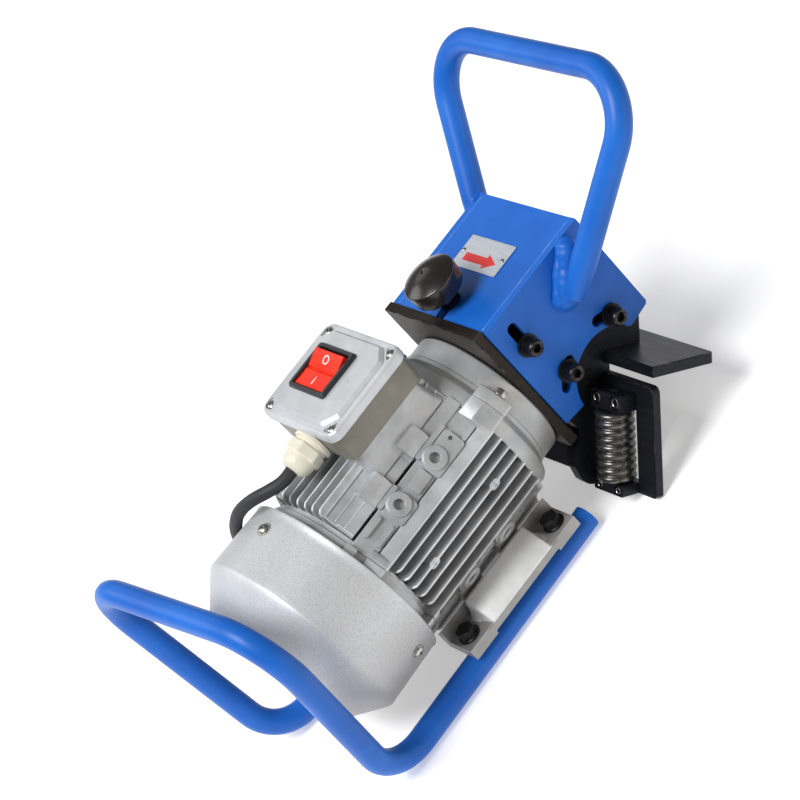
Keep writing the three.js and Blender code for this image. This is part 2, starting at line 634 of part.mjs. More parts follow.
// Moves a piece made about Z so that it lies along the lower fence at the roller's axis.
function toRollerAxis(geometry, side) {
  const [x, z] = fromGuide([-LOWER_FENCE - ROLLER_DEPTH, 0]);
  const turn = new THREE.Matrix4().makeRotationY(Math.atan2(lowerWay.x, lowerWay.y));
  return geometry.applyMatrix4(turn).translate(x, side * ROLLER_Y, z);
}

function addFences() {
  const y = FENCE_HALF_LENGTH;
  const [back, front] = UPPER_FENCE_REACH;
  const half = FENCE_MOUTH_HALF;
  const upper = guideBlock([back, -y, -UPPER_FENCE], [front, y, 0]);
  const upperMouth = guideBlock([back - 1, -half, -UPPER_FENCE - 1], [FENCE_MOUTH_REACH, half, 1]);
  add('upper_fence', BLACK_OXIDE, cut(upper, upperMouth));
  const lower = guideBlock([-LOWER_FENCE, -y, LOWER_FENCE_TOP], [0, y, LOWER_FENCE_END]);
  const windows = [guideBlock([-LOWER_FENCE - 1, -half, 5], [1, half, FENCE_MOUTH_REACH])];
  for (const [, side] of SIDES) {
    const [y0, y1] = span(side, ROLLER_WINDOW);
    windows.push(guideBlock([-LOWER_FENCE - 1, y0, ROLLER_SPAN[0] - 1], [1, y1, ROLLER_SPAN[1] + 1]));
  }
  add('lower_fence', BLACK_OXIDE, cut(lower, ...windows));
}

function bracketShape() {
  const back = -LOWER_FENCE - GAP;
  const under = -UPPER_FENCE - GAP;
  const { centre, radius } = BRACKET_ARC;
  const arc = [];
  const first = Math.atan2(45 - centre[1], -31.5 - centre[0]);
  const last = 2 * Math.PI + Math.atan2(-32.2 - centre[1], FENCE_MOUTH_REACH - centre[0]);
  for (let k = 0; k <= 14; k += 1) {
    const angle = first + (last - first) * k / 14;
    arc.push([centre[0] + radius * Math.cos(angle), centre[1] + radius * Math.sin(angle)]);
  }
  const heel = UPPER_FENCE_REACH[0] - GAP;
  const corner = [
    [FENCE_MOUTH_REACH, under], [heel, under], [heel, GAP], [-BRACKET_NOTCH, GAP],
    [-BRACKET_NOTCH, LOWER_FENCE_TOP - GAP], [back, LOWER_FENCE_TOP - GAP]];
  const points = [
    ...corner, [back, 88.8], [-16, 88.5], [-24, 87], [-30, 82.5], [-35.5, 72], [-36.5, 61],
    [-31.5, 52], ...arc];
  const shape = outline(points.map(fromGuide));
  for (const angle of [REAR_SCREW_ANGLE, FRONT_SCREW_ANGLE]) {
    const hole = new THREE.Path();
    const x = PIVOT_X + SLOT_RADIUS * Math.cos(radians(angle));
    const z = PIVOT_Z + SLOT_RADIUS * Math.sin(radians(angle));
    hole.absarc(x, z, 4.3, 0, 2 * Math.PI);
    shape.holes.push(hole);
  }
  return shape;
}

function addBrackets() {
  for (const [name, side] of SIDES) {
    const [y0, y1] = span(side, [BRACKET_OUTSIDE - BRACKET, BRACKET_OUTSIDE]);
    add('guide_bracket_' + name, BLACK_OXIDE, toGeometry(toSolid(plateY(bracketShape(), y0, y1))));
  }
}

// A roller wound like a close coil, so that burrs pass between its ridges.
function addRollers() {
  const [top, bottom] = ROLLER_SPAN;
  const valley = 12.6;
  const pitch = (bottom - top - 1) / ROLLER_COILS;
  const profile = [[top + 0.5, PIN_RADIUS + 0.1], [top + 0.5, valley]];
  for (let k = 0; k < ROLLER_COILS; k += 1) {
    const start = top + 0.5 + k * pitch;
    profile.push([start + 0.25 * pitch, ROLLER_RADIUS], [start + 0.75 * pitch, ROLLER_RADIUS]);
    profile.push([start + pitch, valley]);
  }
  profile.push([bottom - 0.5, PIN_RADIUS + 0.1]);
  for (const [name, side] of SIDES) {
    add('guide_roller_' + name, OILED_STEEL, toRollerAxis(turned('z', profile, COARSE), side));
    const pin = rod('z', PIN_RADIUS, top - 12.5, bottom + 8);
    add('roller_pin_' + name, BRIGHT_STEEL, toRollerAxis(pin, side));
    for (const [end, q0, q1] of [['top', top - 13.5, top - GAP], ['bottom', bottom + GAP, LOWER_FENCE_END]]) {
      const back = -LOWER_FENCE - GAP;
      const [y0, y1] = span(side, ROLLER_BLOCK);
      const body = guideBlock([back - ROLLER_BLOCK_THICK, y0, q0], [back, y1, q1]);
      const hole = toRollerAxis(rod('z', PIN_RADIUS + GAP, q0 - 1, q1 + 1), side);
      add('roller_block_' + end + '_' + name, BLACK_OXIDE, cut(body, hole));
    }
  }
}

// ---- Mains lead ---------------------------------------------------------------------------
function addCord() {
  const start = GLAND_X[0] - GAP;
  const route = [
    [start, 0, GLAND_Z], [-153, 0.5, GLAND_Z], [-163, 6, 92], [-173, 18, 90], [-181, 34, 82],
    [-186, 51, 68], [-189, 67, 50], [-189.5, 80, 29], [-187, 89, 6], [-182, 96, -17],
    [-176, 102, -40], [-169.5, 108, -62], [-164.5, 116, -80], [-162, 125, -90],
  ].map((point) => new THREE.Vector3(...point));
  const path = new THREE.CatmullRomCurve3(route);
  add('mains_cord', CORD_RUBBER, tube(path, 18, CORD_RADIUS, 0, 10));
  const inner = COIL_RADIUS - 3 * CORD_RADIUS;
  const outer = COIL_RADIUS + 3 * CORD_RADIUS;
  const top = FLOOR + 2 * CORD_RADIUS * COIL_LAYERS;
  const coil = ring('z', inner, outer, FLOOR, top, 32).translate(COIL_X, COIL_Y, 0);
  add('mains_cord_coil', CORD_RUBBER, coil);
}

function addPlug() {
  const height = FLOOR + 2 * CORD_RADIUS * COIL_LAYERS + GAP + PLUG_RADIUS;
  const body = turned('y', [
    [160, 0], [160, CORD_RADIUS + 0.4], [166, CORD_RADIUS + 0.4], [166, 6.5], [146, 9],
    [142, 15], [136, PLUG_RADIUS], [112, PLUG_RADIUS], [110, PLUG_RADIUS - 1.5], [110, 0]], COARSE);
  const pins = [-9.5, 9.5].map((x) => rod('y', 2.4, 91, 111, 12).translate(x, 0, 0));
  add('mains_plug', BLACK_PLASTIC, joined(body, ...pins).translate(COIL_X + 50, 0, height));
}

addHousing();
addEndShields();
addMotorInside();
addFan();
addFanCover();
addTerminalBox();
addSwitch();
addGland();
addFeet();
addFootBolts();
addSkidFrame();
addFlangePlate();
addLiftBlock();
addScrews();
addHeadBox();
addFrontHandle();
addKnob();
addCutter();
addFences();
addBrackets();
addRollers();
addCord();
addPlug();

// The finished part stands on the floor with its footprint, lead aside, centred on the origin.
const LEAD = ['mains_cord', 'mains_cord_coil', 'mains_plug'];
const extent = new THREE.Box3();
model.children.filter((mesh) => !LEAD.includes(mesh.name)).forEach((mesh) => extent.expandByObject(mesh, true));
const middle = extent.getCenter(new THREE.Vector3());
model.position.set(-middle.x, -middle.y, -extent.min.z);

export default model;
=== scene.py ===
"""Looks for a portable plate-edge chamfering machine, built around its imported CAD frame.

Pieces are drawn in millimetres in the machine's own frame: X along the motor axis towards the
head, zero at the rear face of the flange plate, Y to the left, and Z up from the motor axis.
"""

import math

import bmesh
import bpy
from mathutils import Matrix, Vector
from mathutils.geometry import tessellate_polygon


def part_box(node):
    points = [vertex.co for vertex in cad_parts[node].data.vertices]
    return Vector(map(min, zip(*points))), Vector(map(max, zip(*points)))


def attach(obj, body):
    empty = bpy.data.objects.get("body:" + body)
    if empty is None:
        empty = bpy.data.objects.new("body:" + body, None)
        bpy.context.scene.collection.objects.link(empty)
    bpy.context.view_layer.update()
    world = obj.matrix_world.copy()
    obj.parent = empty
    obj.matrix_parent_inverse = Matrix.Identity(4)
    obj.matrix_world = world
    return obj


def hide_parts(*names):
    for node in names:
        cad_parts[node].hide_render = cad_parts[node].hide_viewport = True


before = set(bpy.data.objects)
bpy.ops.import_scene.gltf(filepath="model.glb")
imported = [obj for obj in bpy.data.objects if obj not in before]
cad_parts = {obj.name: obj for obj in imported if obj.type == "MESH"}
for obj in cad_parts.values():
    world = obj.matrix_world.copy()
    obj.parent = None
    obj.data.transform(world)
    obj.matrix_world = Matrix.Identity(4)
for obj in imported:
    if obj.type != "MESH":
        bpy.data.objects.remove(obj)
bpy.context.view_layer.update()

MM = 0.001
PLATE_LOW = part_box("flange_plate")[0]
SHAFT_LOW, SHAFT_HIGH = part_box("motor_shaft")
ORIGIN = Vector((PLATE_LOW.x, (SHAFT_LOW.y + SHAFT_HIGH.y) / 2, (SHAFT_LOW.z + SHAFT_HIGH.z) / 2))
FLOOR = -ORIGIN.z / MM

TUBE = 9.7
BOX_SIDE = 57.8
BOX_TOP = 73.0
BOX_FRONT = 113.5
BOX_REAR = 8.4
PIVOT = (60.5, -35.5)
SLOT_RADIUS = 42.5
SLOT_HALF = 4.5
GUIDE_SCREWS = {"rear": 126.8, "front": 52.4}
LIFT_SCREW_X = 25.5
STUD_X = 24
LID_X = -78.25
LID_TOP = 114
SWITCH = (-76, 7)
BRACKET_PLATE = (43.5, 51.5)
APEX = (66.0, -32.0)
GUIDE_ANGLE = math.radians(-40.0)
ROCKER_LEAN = math.radians(9.0)
GLAND_Z = 91.4
CORD = 9.5
SIDES = (("right", -1), ("left", 1))


def at(x, y, z):
    """A place in the machine's frame, as Blender wants it."""
    return ORIGIN + Vector((x, y, z)) * MM


def put(name, data):
    """A new object in the scene."""
    item = bpy.data.objects.new(name, data)
    bpy.context.scene.collection.objects.link(item)
    return item


# ---- Camera ---------------------------------------------------------------------------------
def make_camera():
    """The view the machine is shown from: from its right rear side, looking down, tipped over."""
    right = Vector((0.59887, -0.55575, -0.57662)).normalized()
    ahead = Vector((0.21111, 0.80411, -0.55574)).normalized()
    up = right.cross(ahead)
    data = bpy.data.cameras.new("camera")
    data.lens = 146.745
    data.sensor_width = 36.0
    data.clip_start = 0.05
    data.clip_end = 50.0
    camera = put("camera", data)
    turn = Matrix((right, up, -ahead)).transposed().to_4x4()
    camera.matrix_world = Matrix.Translation(at(-535.3, -1839.0, 1327.1)) @ turn
    bpy.context.scene.camera = camera


# ---- Materials ------------------------------------------------------------------------------
def linear(red, green, blue):
    """A colour as seen, from 0 to 255, made linear for the shader."""
    def channel(value):
        value /= 255
        return value / 12.92 if value <= 0.04045 else ((value + 0.055) / 1.055) ** 2.4
    return (channel(red), channel(green), channel(blue), 1.0)


class Look:
    """A procedural material, drawn in the object's own coordinates in metres."""

    def __init__(self, name, roughness=0.5, metallic=0.0, coat=0.0, coat_roughness=0.1, specular=0.5):
        self.material = bpy.data.materials.new(name)
        self.material.use_nodes = True
        self.tree = self.material.node_tree
        self.surface = self.tree.nodes["Principled BSDF"]
        self.surface.inputs["Roughness"].default_value = roughness
        self.surface.inputs["Metallic"].default_value = metallic
        self.surface.inputs["Coat Weight"].default_value = coat
        self.surface.inputs["Coat Roughness"].default_value = coat_roughness
        self.surface.inputs["Specular IOR Level"].default_value = specular
        self.place = self.tree.nodes.new("ShaderNodeTexCoord").outputs["Object"]

    def node(self, kind, output, **inputs):
        """Adds a shader node, feeds its inputs and gives one of its outputs."""
        node = self.tree.nodes.new("ShaderNode" + kind)
        for name, value in inputs.items():
            self.feed(value, node.inputs[name.replace("_", " ")])
        return node.outputs[output]

    def noise(self, size_mm, detail=4.0, roughness=0.55, stretch=(1, 1, 1)):
        place = self.node("Mapping", "Vector", Scale=stretch, Vector=self.place)
        return self.node("TexNoise", "Fac", Scale=1.0 / (size_mm * MM), Detail=detail,
                         Roughness=roughness, Vector=place)

    def cells(self, size_mm):
        return self.node("TexVoronoi", "Distance", Scale=1.0 / (size_mm * MM), Vector=self.place)

    def ramp(self, factor, *stops):
        """Stops are (place, colour or grey)."""
        node = self.tree.nodes.new("ShaderNodeValToRGB")
        ramp = node.color_ramp
        while len(ramp.elements) < len(stops):
            ramp.elements.new(1.0)
        for element, (place, value) in zip(ramp.elements, stops):
            element.position = place
            element.color = value if isinstance(value, tuple) else (value, value, value, 1.0)
        self.tree.links.new(factor, node.inputs["Fac"])
        return node.outputs["Color"]

    def tone(self, pattern, dark, light, start=0.3, end=0.7):
        """A colour that goes from dark to light along a stretch of a pattern."""
        return self.ramp(pattern, (start, linear(*dark)), (end, linear(*light)))

    def patches(self, noise, start, end, share=1.0):
        """Nothing but in patches, where it rises to a share."""
        return self.ramp(noise, (start, 0.0), (end, share))

    def mix(self, factor, first, second):
        """First where the factor is 0, second where it is 1."""
        node = self.tree.nodes.new("ShaderNodeMix")
        node.data_type = "RGBA"
        self.feed(factor, node.inputs["Factor"])
        self.feed(first, node.inputs[6])
        self.feed(second, node.inputs[7])
        return node.outputs[2]

    def low_down(self, strength, full, none):
        """A share that is at its strongest below one height in metres, and fades out at another: the mask for
        painted shade near the floor.
        """
        return self.ramp(self.node("SeparateXYZ", "Z", Vector=self.place), (full, strength), (none, 0.0))

    def feed(self, value, socket):
        """Links a socket to another one, or sets it to a plain value."""
        if isinstance(value, bpy.types.NodeSocket):
            self.tree.links.new(value, socket)
        else:
            socket.default_value = value

    def colour(self, value):
        self.feed(value, self.surface.inputs["Base Color"])

    def finish(self, pattern, low, high, *layers):
        """Roughness from low to high along a pattern; layers of bumps are (height, strength, mm)."""
        varied = self.node("MapRange", "Result", To_Min=low, To_Max=high, Value=pattern)
        self.feed(varied, self.surface.inputs["Roughness"])
        under = {}
        for height, strength, distance in layers:
            under["Normal"] = self.node("Bump", "Normal", Strength=strength, Distance=distance * MM,
                                        Height=height, **under)
        self.feed(under["Normal"], self.surface.inputs["Normal"])
        return self.material


def blue_paint():
    """Sprayed gloss enamel: a little orange peel, faint mottling, and a few chips to dark steel."""
    look = Look("blue_paint", coat=0.05, coat_roughness=0.2, specular=0.26)
    tone = look.tone(look.noise(55, 3), (20, 90, 182), (30, 106, 201))
    chips = look.patches(look.noise(7, 5, 0.62), 0.745, 0.76)
    look.colour(look.mix(chips, tone, linear(42, 44, 50)))
    return look.finish(look.noise(16, 5), 0.34, 0.5, (look.noise(2.6, 2), 0.12, 0.25), (chips, -0.5, 0.15))


def worn_blue():
    """Paint rubbed thin along an edge."""
    look = Look("blue_paint_edge", metallic=0.1, coat=0.2)
    bare = look.patches(look.noise(9, 5, 0.65), 0.52, 0.6)
    look.colour(look.mix(bare, linear(58, 128, 226), linear(122, 152, 196)))
    return look.finish(look.noise(3, 3), 0.3, 0.5, (bare, -0.3, 0.1))


def cast_grey(name, dark, light, metallic=0.45, grain=1.3, low_shade=0.45):
    """Sand-cast or pressure-cast aluminium under a thin silver-grey coat, with painted shade that makes it
    darker and browner low down, near the floor.
    """
    look = Look(name, metallic=metallic)
    blotch = look.tone(look.noise(30, 4), dark, light, 0.3, 0.72)
    grime = look.patches(look.noise(11, 6, 0.6), 0.62, 0.78, 0.3)
    worked = look.mix(grime, blotch, linear(112, 112, 110))
    # Painted shade: the colour turns darker and browner towards the floor.
    look.colour(look.mix(look.low_down(low_shade, 0.03, 0.1), worked, linear(116, 107, 93)))
    return look.finish(look.noise(6, 4), 0.36, 0.58,
                       (look.noise(grain, 3), 0.3, 0.25), (look.cells(2.4), 0.12, 0.2))


def hammer_silver():
    """Metallic spray on the pressed fan cover, with the fine hammered grain of thick paint, and painted shade
    that makes it darker and browner low down.
    """
    look = Look("hammer_silver", metallic=0.3, coat=0.05, coat_roughness=0.3)
    flake = look.tone(look.cells(0.9), (216, 219, 221), (190, 192, 195), 0.1, 0.7)
    haze = look.patches(look.noise(45, 4), 0.35, 0.75, 0.35)
    hazy = look.mix(haze, flake, linear(176, 174, 170))
    # Painted shade: darker and browner towards the floor.
    look.colour(look.mix(look.low_down(0.8, 0.03, 0.105), hazy, linear(112, 100, 86)))
    return look.finish(look.noise(5, 4), 0.4, 0.54,
                       (look.cells(1.6), 0.16, 0.2), (look.noise(0.8, 2), 0.16, 0.12))


def black_oxide():
    """Blacked steel plate: rolled faintly along Y, with small bright specks and brown haze."""
    look = Look("black_oxide", metallic=0.6, specular=0.4)
    rolled = look.noise(5, 5, 0.6, stretch=(1.5, 0.12, 1.5))
    tone = look.tone(rolled, (20, 22, 28), (36, 38, 46))
    specks = look.patches(look.noise(1.6, 3, 0.6), 0.72, 0.78, 0.55)
    haze = look.patches(look.noise(24, 4), 0.55, 0.8, 0.5)
    stained = look.mix(haze, tone, linear(48, 40, 34))
    look.colour(look.mix(specks, stained, linear(108, 106, 104)))
    return look.finish(rolled, 0.3, 0.56, (look.noise(2.2, 4), 0.12, 0.12), (rolled, 0.1, 0.1))


def rubbed_edge():
    """Blacking rubbed through to brownish steel along an edge."""
    look = Look("black_oxide_edge", metallic=0.85)
    worn = look.tone(look.noise(9, 6, 0.6), (30, 29, 30), (104, 94, 84), 0.5, 0.68)
    look.colour(worn)
    return look.finish(look.noise(2, 3), 0.3, 0.5, (look.noise(1.5, 3), 0.15, 0.1))


def browned_steel():
    """The flange plate: milled, browned and oily, with light scratches."""
    look = Look("browned_steel", metallic=0.65)
    milled = look.noise(3.2, 4, 0.6, stretch=(1, 0.15, 1))
    tone = look.tone(milled, (27, 21, 18), (52, 41, 34))
    look.colour(look.mix(look.patches(look.noise(14, 5), 0.55, 0.75, 0.6), tone, linear(30, 28, 28)))
    return look.finish(milled, 0.34, 0.6, (milled, 0.12, 0.1))


def screw_black():
    """Phosphated screws with an oily dark face."""
    look = Look("screw_black", metallic=0.7)
    look.colour(look.tone(look.noise(2.4, 4), (22, 22, 25), (48, 47, 48), 0.35, 0.75))
    return look.finish(look.noise(1.2, 3), 0.28, 0.5, (look.noise(0.7, 2), 0.1, 0.08))


def oiled_steel():
    """Hard steel rubbed bright on its crests, dark and oily between them."""
    look = Look("oiled_steel", metallic=0.9)
    look.colour(look.tone(look.noise(4, 5, 0.6), (60, 59, 58), (120, 118, 115)))
    return look.finish(look.noise(2, 4), 0.2, 0.42, (look.noise(1.1, 3), 0.12, 0.08))


def zinc(name="zinc", light=(206, 205, 196), dark=(168, 168, 164)):
    """Bright zinc plating, a little blotched."""
    look = Look(name, metallic=1.0)
    look.colour(look.tone(look.noise(3, 3), dark, light))
    return look.finish(look.noise(1.5, 4), 0.2, 0.4, (look.noise(0.9, 3), 0.08, 0.06))


def ground_steel():
    """Turned and ground steel with rings of tool marks round the X axis."""
    look = Look("ground_steel", metallic=1.0)
    marks = look.noise(1.2, 3, 0.5, stretch=(1, 0.05, 0.05))
    look.colour(look.tone(marks, (172, 175, 180), (208, 210, 213)))
    return look.finish(marks, 0.16, 0.34, (marks, 0.1, 0.05))


def core_sheets():
    """Stacked electrical sheets, half a millimetre thick."""
    look = Look("core_sheets", metallic=0.8, roughness=0.5)
    wave = look.tree.nodes.new("ShaderNodeTexWave")
    wave.bands_direction = "X"
    wave.inputs["Scale"].default_value = 320.0
    wave.inputs["Distortion"].default_value = 0.3
    look.feed(look.place, wave.inputs["Vector"])
    look.colour(look.tone(wave.outputs["Fac"], (66, 68, 72), (136, 138, 142), 0.2, 0.7))
    return look.finish(look.noise(4, 3), 0.4, 0.6, (wave.outputs["Fac"], 0.3, 0.15))


def copper_wire():
    """Varnished copper wire wound round and round."""
    look = Look("copper_wire", metallic=0.8, coat=0.6)
    strands = look.noise(1.1, 3, 0.5, stretch=(1, 0.15, 0.15))
    look.colour(look.tone(strands, (108, 48, 22), (190, 98, 52)))
    return look.finish(strands, 0.25, 0.5, (strands, 0.5, 0.4))


def moulded(name, dark, light, low=0.3, high=0.5, grain=1.0, coat=0.0):
    """Moulded plastic or rubber with a fine grain."""
    look = Look(name, coat=coat, coat_roughness=0.08)
    look.colour(look.tone(look.noise(18, 4), dark, light))
    return look.finish(look.noise(4, 4), low, high, (look.noise(grain, 3), 0.1, 0.1))


def red_rocker():
    """Clear-ish orange-red acrylic over a lamp."""
    look = Look("red_rocker", coat=0.04, coat_roughness=0.1, specular=0.16)
    look.colour(look.tone(look.noise(12, 3), (222, 34, 10), (242, 50, 20)))
    look.surface.inputs["Subsurface Weight"].default_value = 0.1
    look.surface.inputs["Subsurface Radius"].default_value = (0.004, 0.001, 0.0005)
    return look.finish(look.noise(5, 3), 0.16, 0.3, (look.noise(3, 2), 0.05, 0.1))


def label_sheet():
    """Thin printed aluminium sheet, brushed along Y."""
    look = Look("label_sheet", metallic=0.5)
    brushed = look.noise(1.2, 3, 0.5, stretch=(1, 0.04, 1))
    look.colour(look.tone(brushed, (184, 190, 197), (208, 213, 219)))
    return look.finish(brushed, 0.28, 0.46, (brushed, 0.06, 0.04))


def plain_floor():
    """The pale floor, with only a trace of unevenness."""
    look = Look("floor", roughness=0.8, specular=0.1)
    look.colour(look.ramp(look.noise(300, 2), (0.3, (0.74, 0.74, 0.75, 1)), (0.7, (0.78, 0.78, 0.78, 1))))
    look.surface.inputs["Emission Color"].default_value = (1, 1, 1, 1)
    look.surface.inputs["Emission Strength"].default_value = 0.42
    return look.material


BLUE = blue_paint()
BLUE_EDGE = worn_blue()
CAST = cast_grey("cast_aluminium", (159, 162, 164), (203, 205, 207), 0.45)
# Painted shade: a dark copy of the cast aluminium for the barrel deep between the fins.
VALLEY_SHADE = cast_grey("cast_aluminium_valley_shade", (48, 50, 53), (74, 76, 79), 0.3)
# Partly bare metal, partly painted highlight: a lighter copy of the cast aluminium for the bevelled edges, so
# they show as bright lit lines.
BARE_LIT_EDGE = cast_grey("cast_aluminium_lit_edge", (214, 216, 218), (238, 239, 240), 0.55, 0.8)
BOX_GREY = cast_grey("terminal_box_grey", (112, 109, 99), (140, 137, 127), 0.15)
LID_GREY = cast_grey("lid_grey", (188, 192, 196), (216, 220, 223), 0.35, 1.0)
# The shield gets strong painted shade low down, darker and browner near the floor.
SHIELD = cast_grey("machined_aluminium", (172, 175, 177), (208, 210, 211), 0.5, 0.9, 0.9)
# Painted light: a lighter copy of the cast aluminium for the feet's webs, standing for their brightly lit
# slopes.
LIT_FOOT_GREY = cast_grey("cast_aluminium_foot_lit", (212, 214, 214), (240, 241, 240), 0.25, 1.0, 0.0)
COVER = hammer_silver()
BLACK = black_oxide()
BLACK_EDGE = rubbed_edge()
BROWN = browned_steel()
SCREW = screw_black()
OILED = oiled_steel()
ZINC = zinc()
SOCKET_RIM = zinc("socket_rim", (74, 72, 70), (38, 37, 37))
BLOCK_RIM = zinc("block_screw_rim", (168, 166, 162), (92, 90, 88))
GROUND = ground_steel()
CORE = core_sheets()
COPPER = copper_wire()
KNOB_BLACK = moulded("knob_black", (24, 19, 17), (37, 31, 27), 0.2, 0.34, 1.6, 0.2)
DARK_PLASTIC = moulded("dark_plastic", (34, 35, 37), (48, 49, 52), 0.3, 0.46)
RED = red_rocker()
MARK_WHITE = moulded("mark_white", (228, 226, 220), (240, 238, 232), 0.3, 0.4)
ARROW_RED = moulded("arrow_red", (196, 34, 30), (214, 48, 40), 0.3, 0.45)
CREAM = moulded("cream_nylon", (212, 206, 186), (230, 226, 210), 0.34, 0.5, 1.4)
RUBBER = moulded("cord_rubber", (33, 34, 37), (48, 49, 53), 0.5, 0.72, 0.9)


# ---- Shapes ---------------------------------------------------------------------------------
def heading(origin, direction, roll=0.0):
    """Stands local Z along a direction at a point."""
    turn = Vector(direction).to_track_quat("Z", "Y").to_matrix().to_4x4()
    return Matrix.Translation(Vector(origin)) @ turn @ Matrix.Rotation(roll, 4, "Z")


def axes(origin, x_axis, y_axis):
    """Lays local X and Y along two directions at right angles."""
    x_axis, y_axis = Vector(x_axis).normalized(), Vector(y_axis).normalized()
    turn = Matrix((x_axis, y_axis, x_axis.cross(y_axis))).transposed().to_4x4()
    return Matrix.Translation(Vector(origin)) @ turn


def on_side(side, near, far):
    """Two distances from the machine's middle plane, in rising order, on one side of it."""
    return sorted((side * near, side * far))


ALONG_X = heading((0, 0, 0), (1, 0, 0))
UPRIGHT = Matrix.Identity(4)


def polar(centre, radius, angle):
    """The point at a radius from a centre and at an angle in degrees."""
    turn = math.radians(angle)
    return (centre[0] + radius * math.cos(turn), centre[1] + radius * math.sin(turn))


def arc(centre, radius, start, end, steps):
    """Points round an arc, with its angles in degrees."""
    return [polar(centre, radius, start + (end - start) * k / steps) for k in range(steps + 1)]


def circle(centre, radius, count=24):
    """The outline of a round hole."""
    return arc(centre, radius, 0, 360 - 360 / count, count - 1)


def level(outline, z):
    """An outline laid at a height."""
    return [(a, b, z) for a, b in outline]


def scaled(outline, size, z):
    """An outline made larger or smaller about its middle and laid at a height."""
    return [(a * size, b * size, z) for a, b in outline]


def off_flat(turn):
    """The cosine of the angle from a turn to the middle of a hexagon's nearest flat."""
    return math.cos(turn % (math.pi / 3) - math.pi / 6)


def rounded(x0, y0, x1, y1, radius, steps=6):
    """A rectangle's outline with round corners."""
    points = []
    for cx, cy, start in ((x1 - radius, y1 - radius, 0), (x0 + radius, y1 - radius, 90),
                          (x0 + radius, y0 + radius, 180), (x1 - radius, y0 + radius, 270)):
        points += arc((cx, cy), radius, start, start + 90, steps)
    return points


def softened(corners, radius, steps=4):
    """An outline with each corner rounded by an arc of about that radius."""
    points = []
    for k, corner in enumerate(corners):
        corner = Vector(corner)
        before = Vector(corners[k - 1]) - corner
        after = Vector(corners[(k + 1) % len(corners)]) - corner
        angle = before.angle(after)
        reach = min(radius / math.tan(angle / 2), before.length * 0.45, after.length * 0.45)
        first = corner + before.normalized() * reach
        last = corner + after.normalized() * reach
        for step in range(steps + 1):
            t = step / steps
            points.append(tuple(first * (1 - t) ** 2 + corner * 2 * t * (1 - t) + last * t * t))
    return points


def slot_outline(first, last, half, steps=10):
    """A slot with round ends between two centres."""
    lean = math.degrees(math.atan2(last[1] - first[1], last[0] - first[0]))
    return arc(last, half, lean - 90, lean + 90, steps) + arc(first, half, lean + 90, lean + 270, steps)


def arc_slot(centre, radius, half, start, end, steps=16):
    """A slot bent round a centre, with round ends."""
    outside = arc(centre, radius + half, start, end, steps)
    far_end = arc(polar(centre, radius, end), half, end, end + 180, 8)
    inside = arc(centre, radius - half, end, start, steps)
    near_end = arc(polar(centre, radius, start), half, start + 180, start + 360, 8)
    return outside + far_end[1:-1] + inside + near_end[1:-1]


def dense_route(route, step, least):
    """A route with more points, about one every step, and at least so many to each stretch."""
    route = [Vector(point) for point in route]
    points = []
    for first, second in zip(route, route[1:]):
        parts = max(least, int((second - first).length / step))
        points += [first.lerp(second, k / parts) for k in range(parts)]
    return points + [route[-1]]


def bent_route(corners, radii, steps=14):
    """Points along straight runs joined by arcs."""
    corners = [Vector(corner) for corner in corners]
    points = [corners[0]]
    for k, radius in enumerate(radii, 1):
        arriving = (corners[k] - corners[k - 1]).normalized()
        leaving = (corners[k + 1] - corners[k]).normalized()
        angle = arriving.angle(leaving)
        start = corners[k] - arriving * radius * math.tan(angle / 2)
        inwards = (leaving - arriving * math.cos(angle)).normalized()
        for step in range(steps + 1):
            turn = angle * step / steps
            points.append(start + arriving * radius * math.sin(turn)
                          + inwards * radius * (1 - math.cos(turn)))
    points.append(corners[-1])
    return points


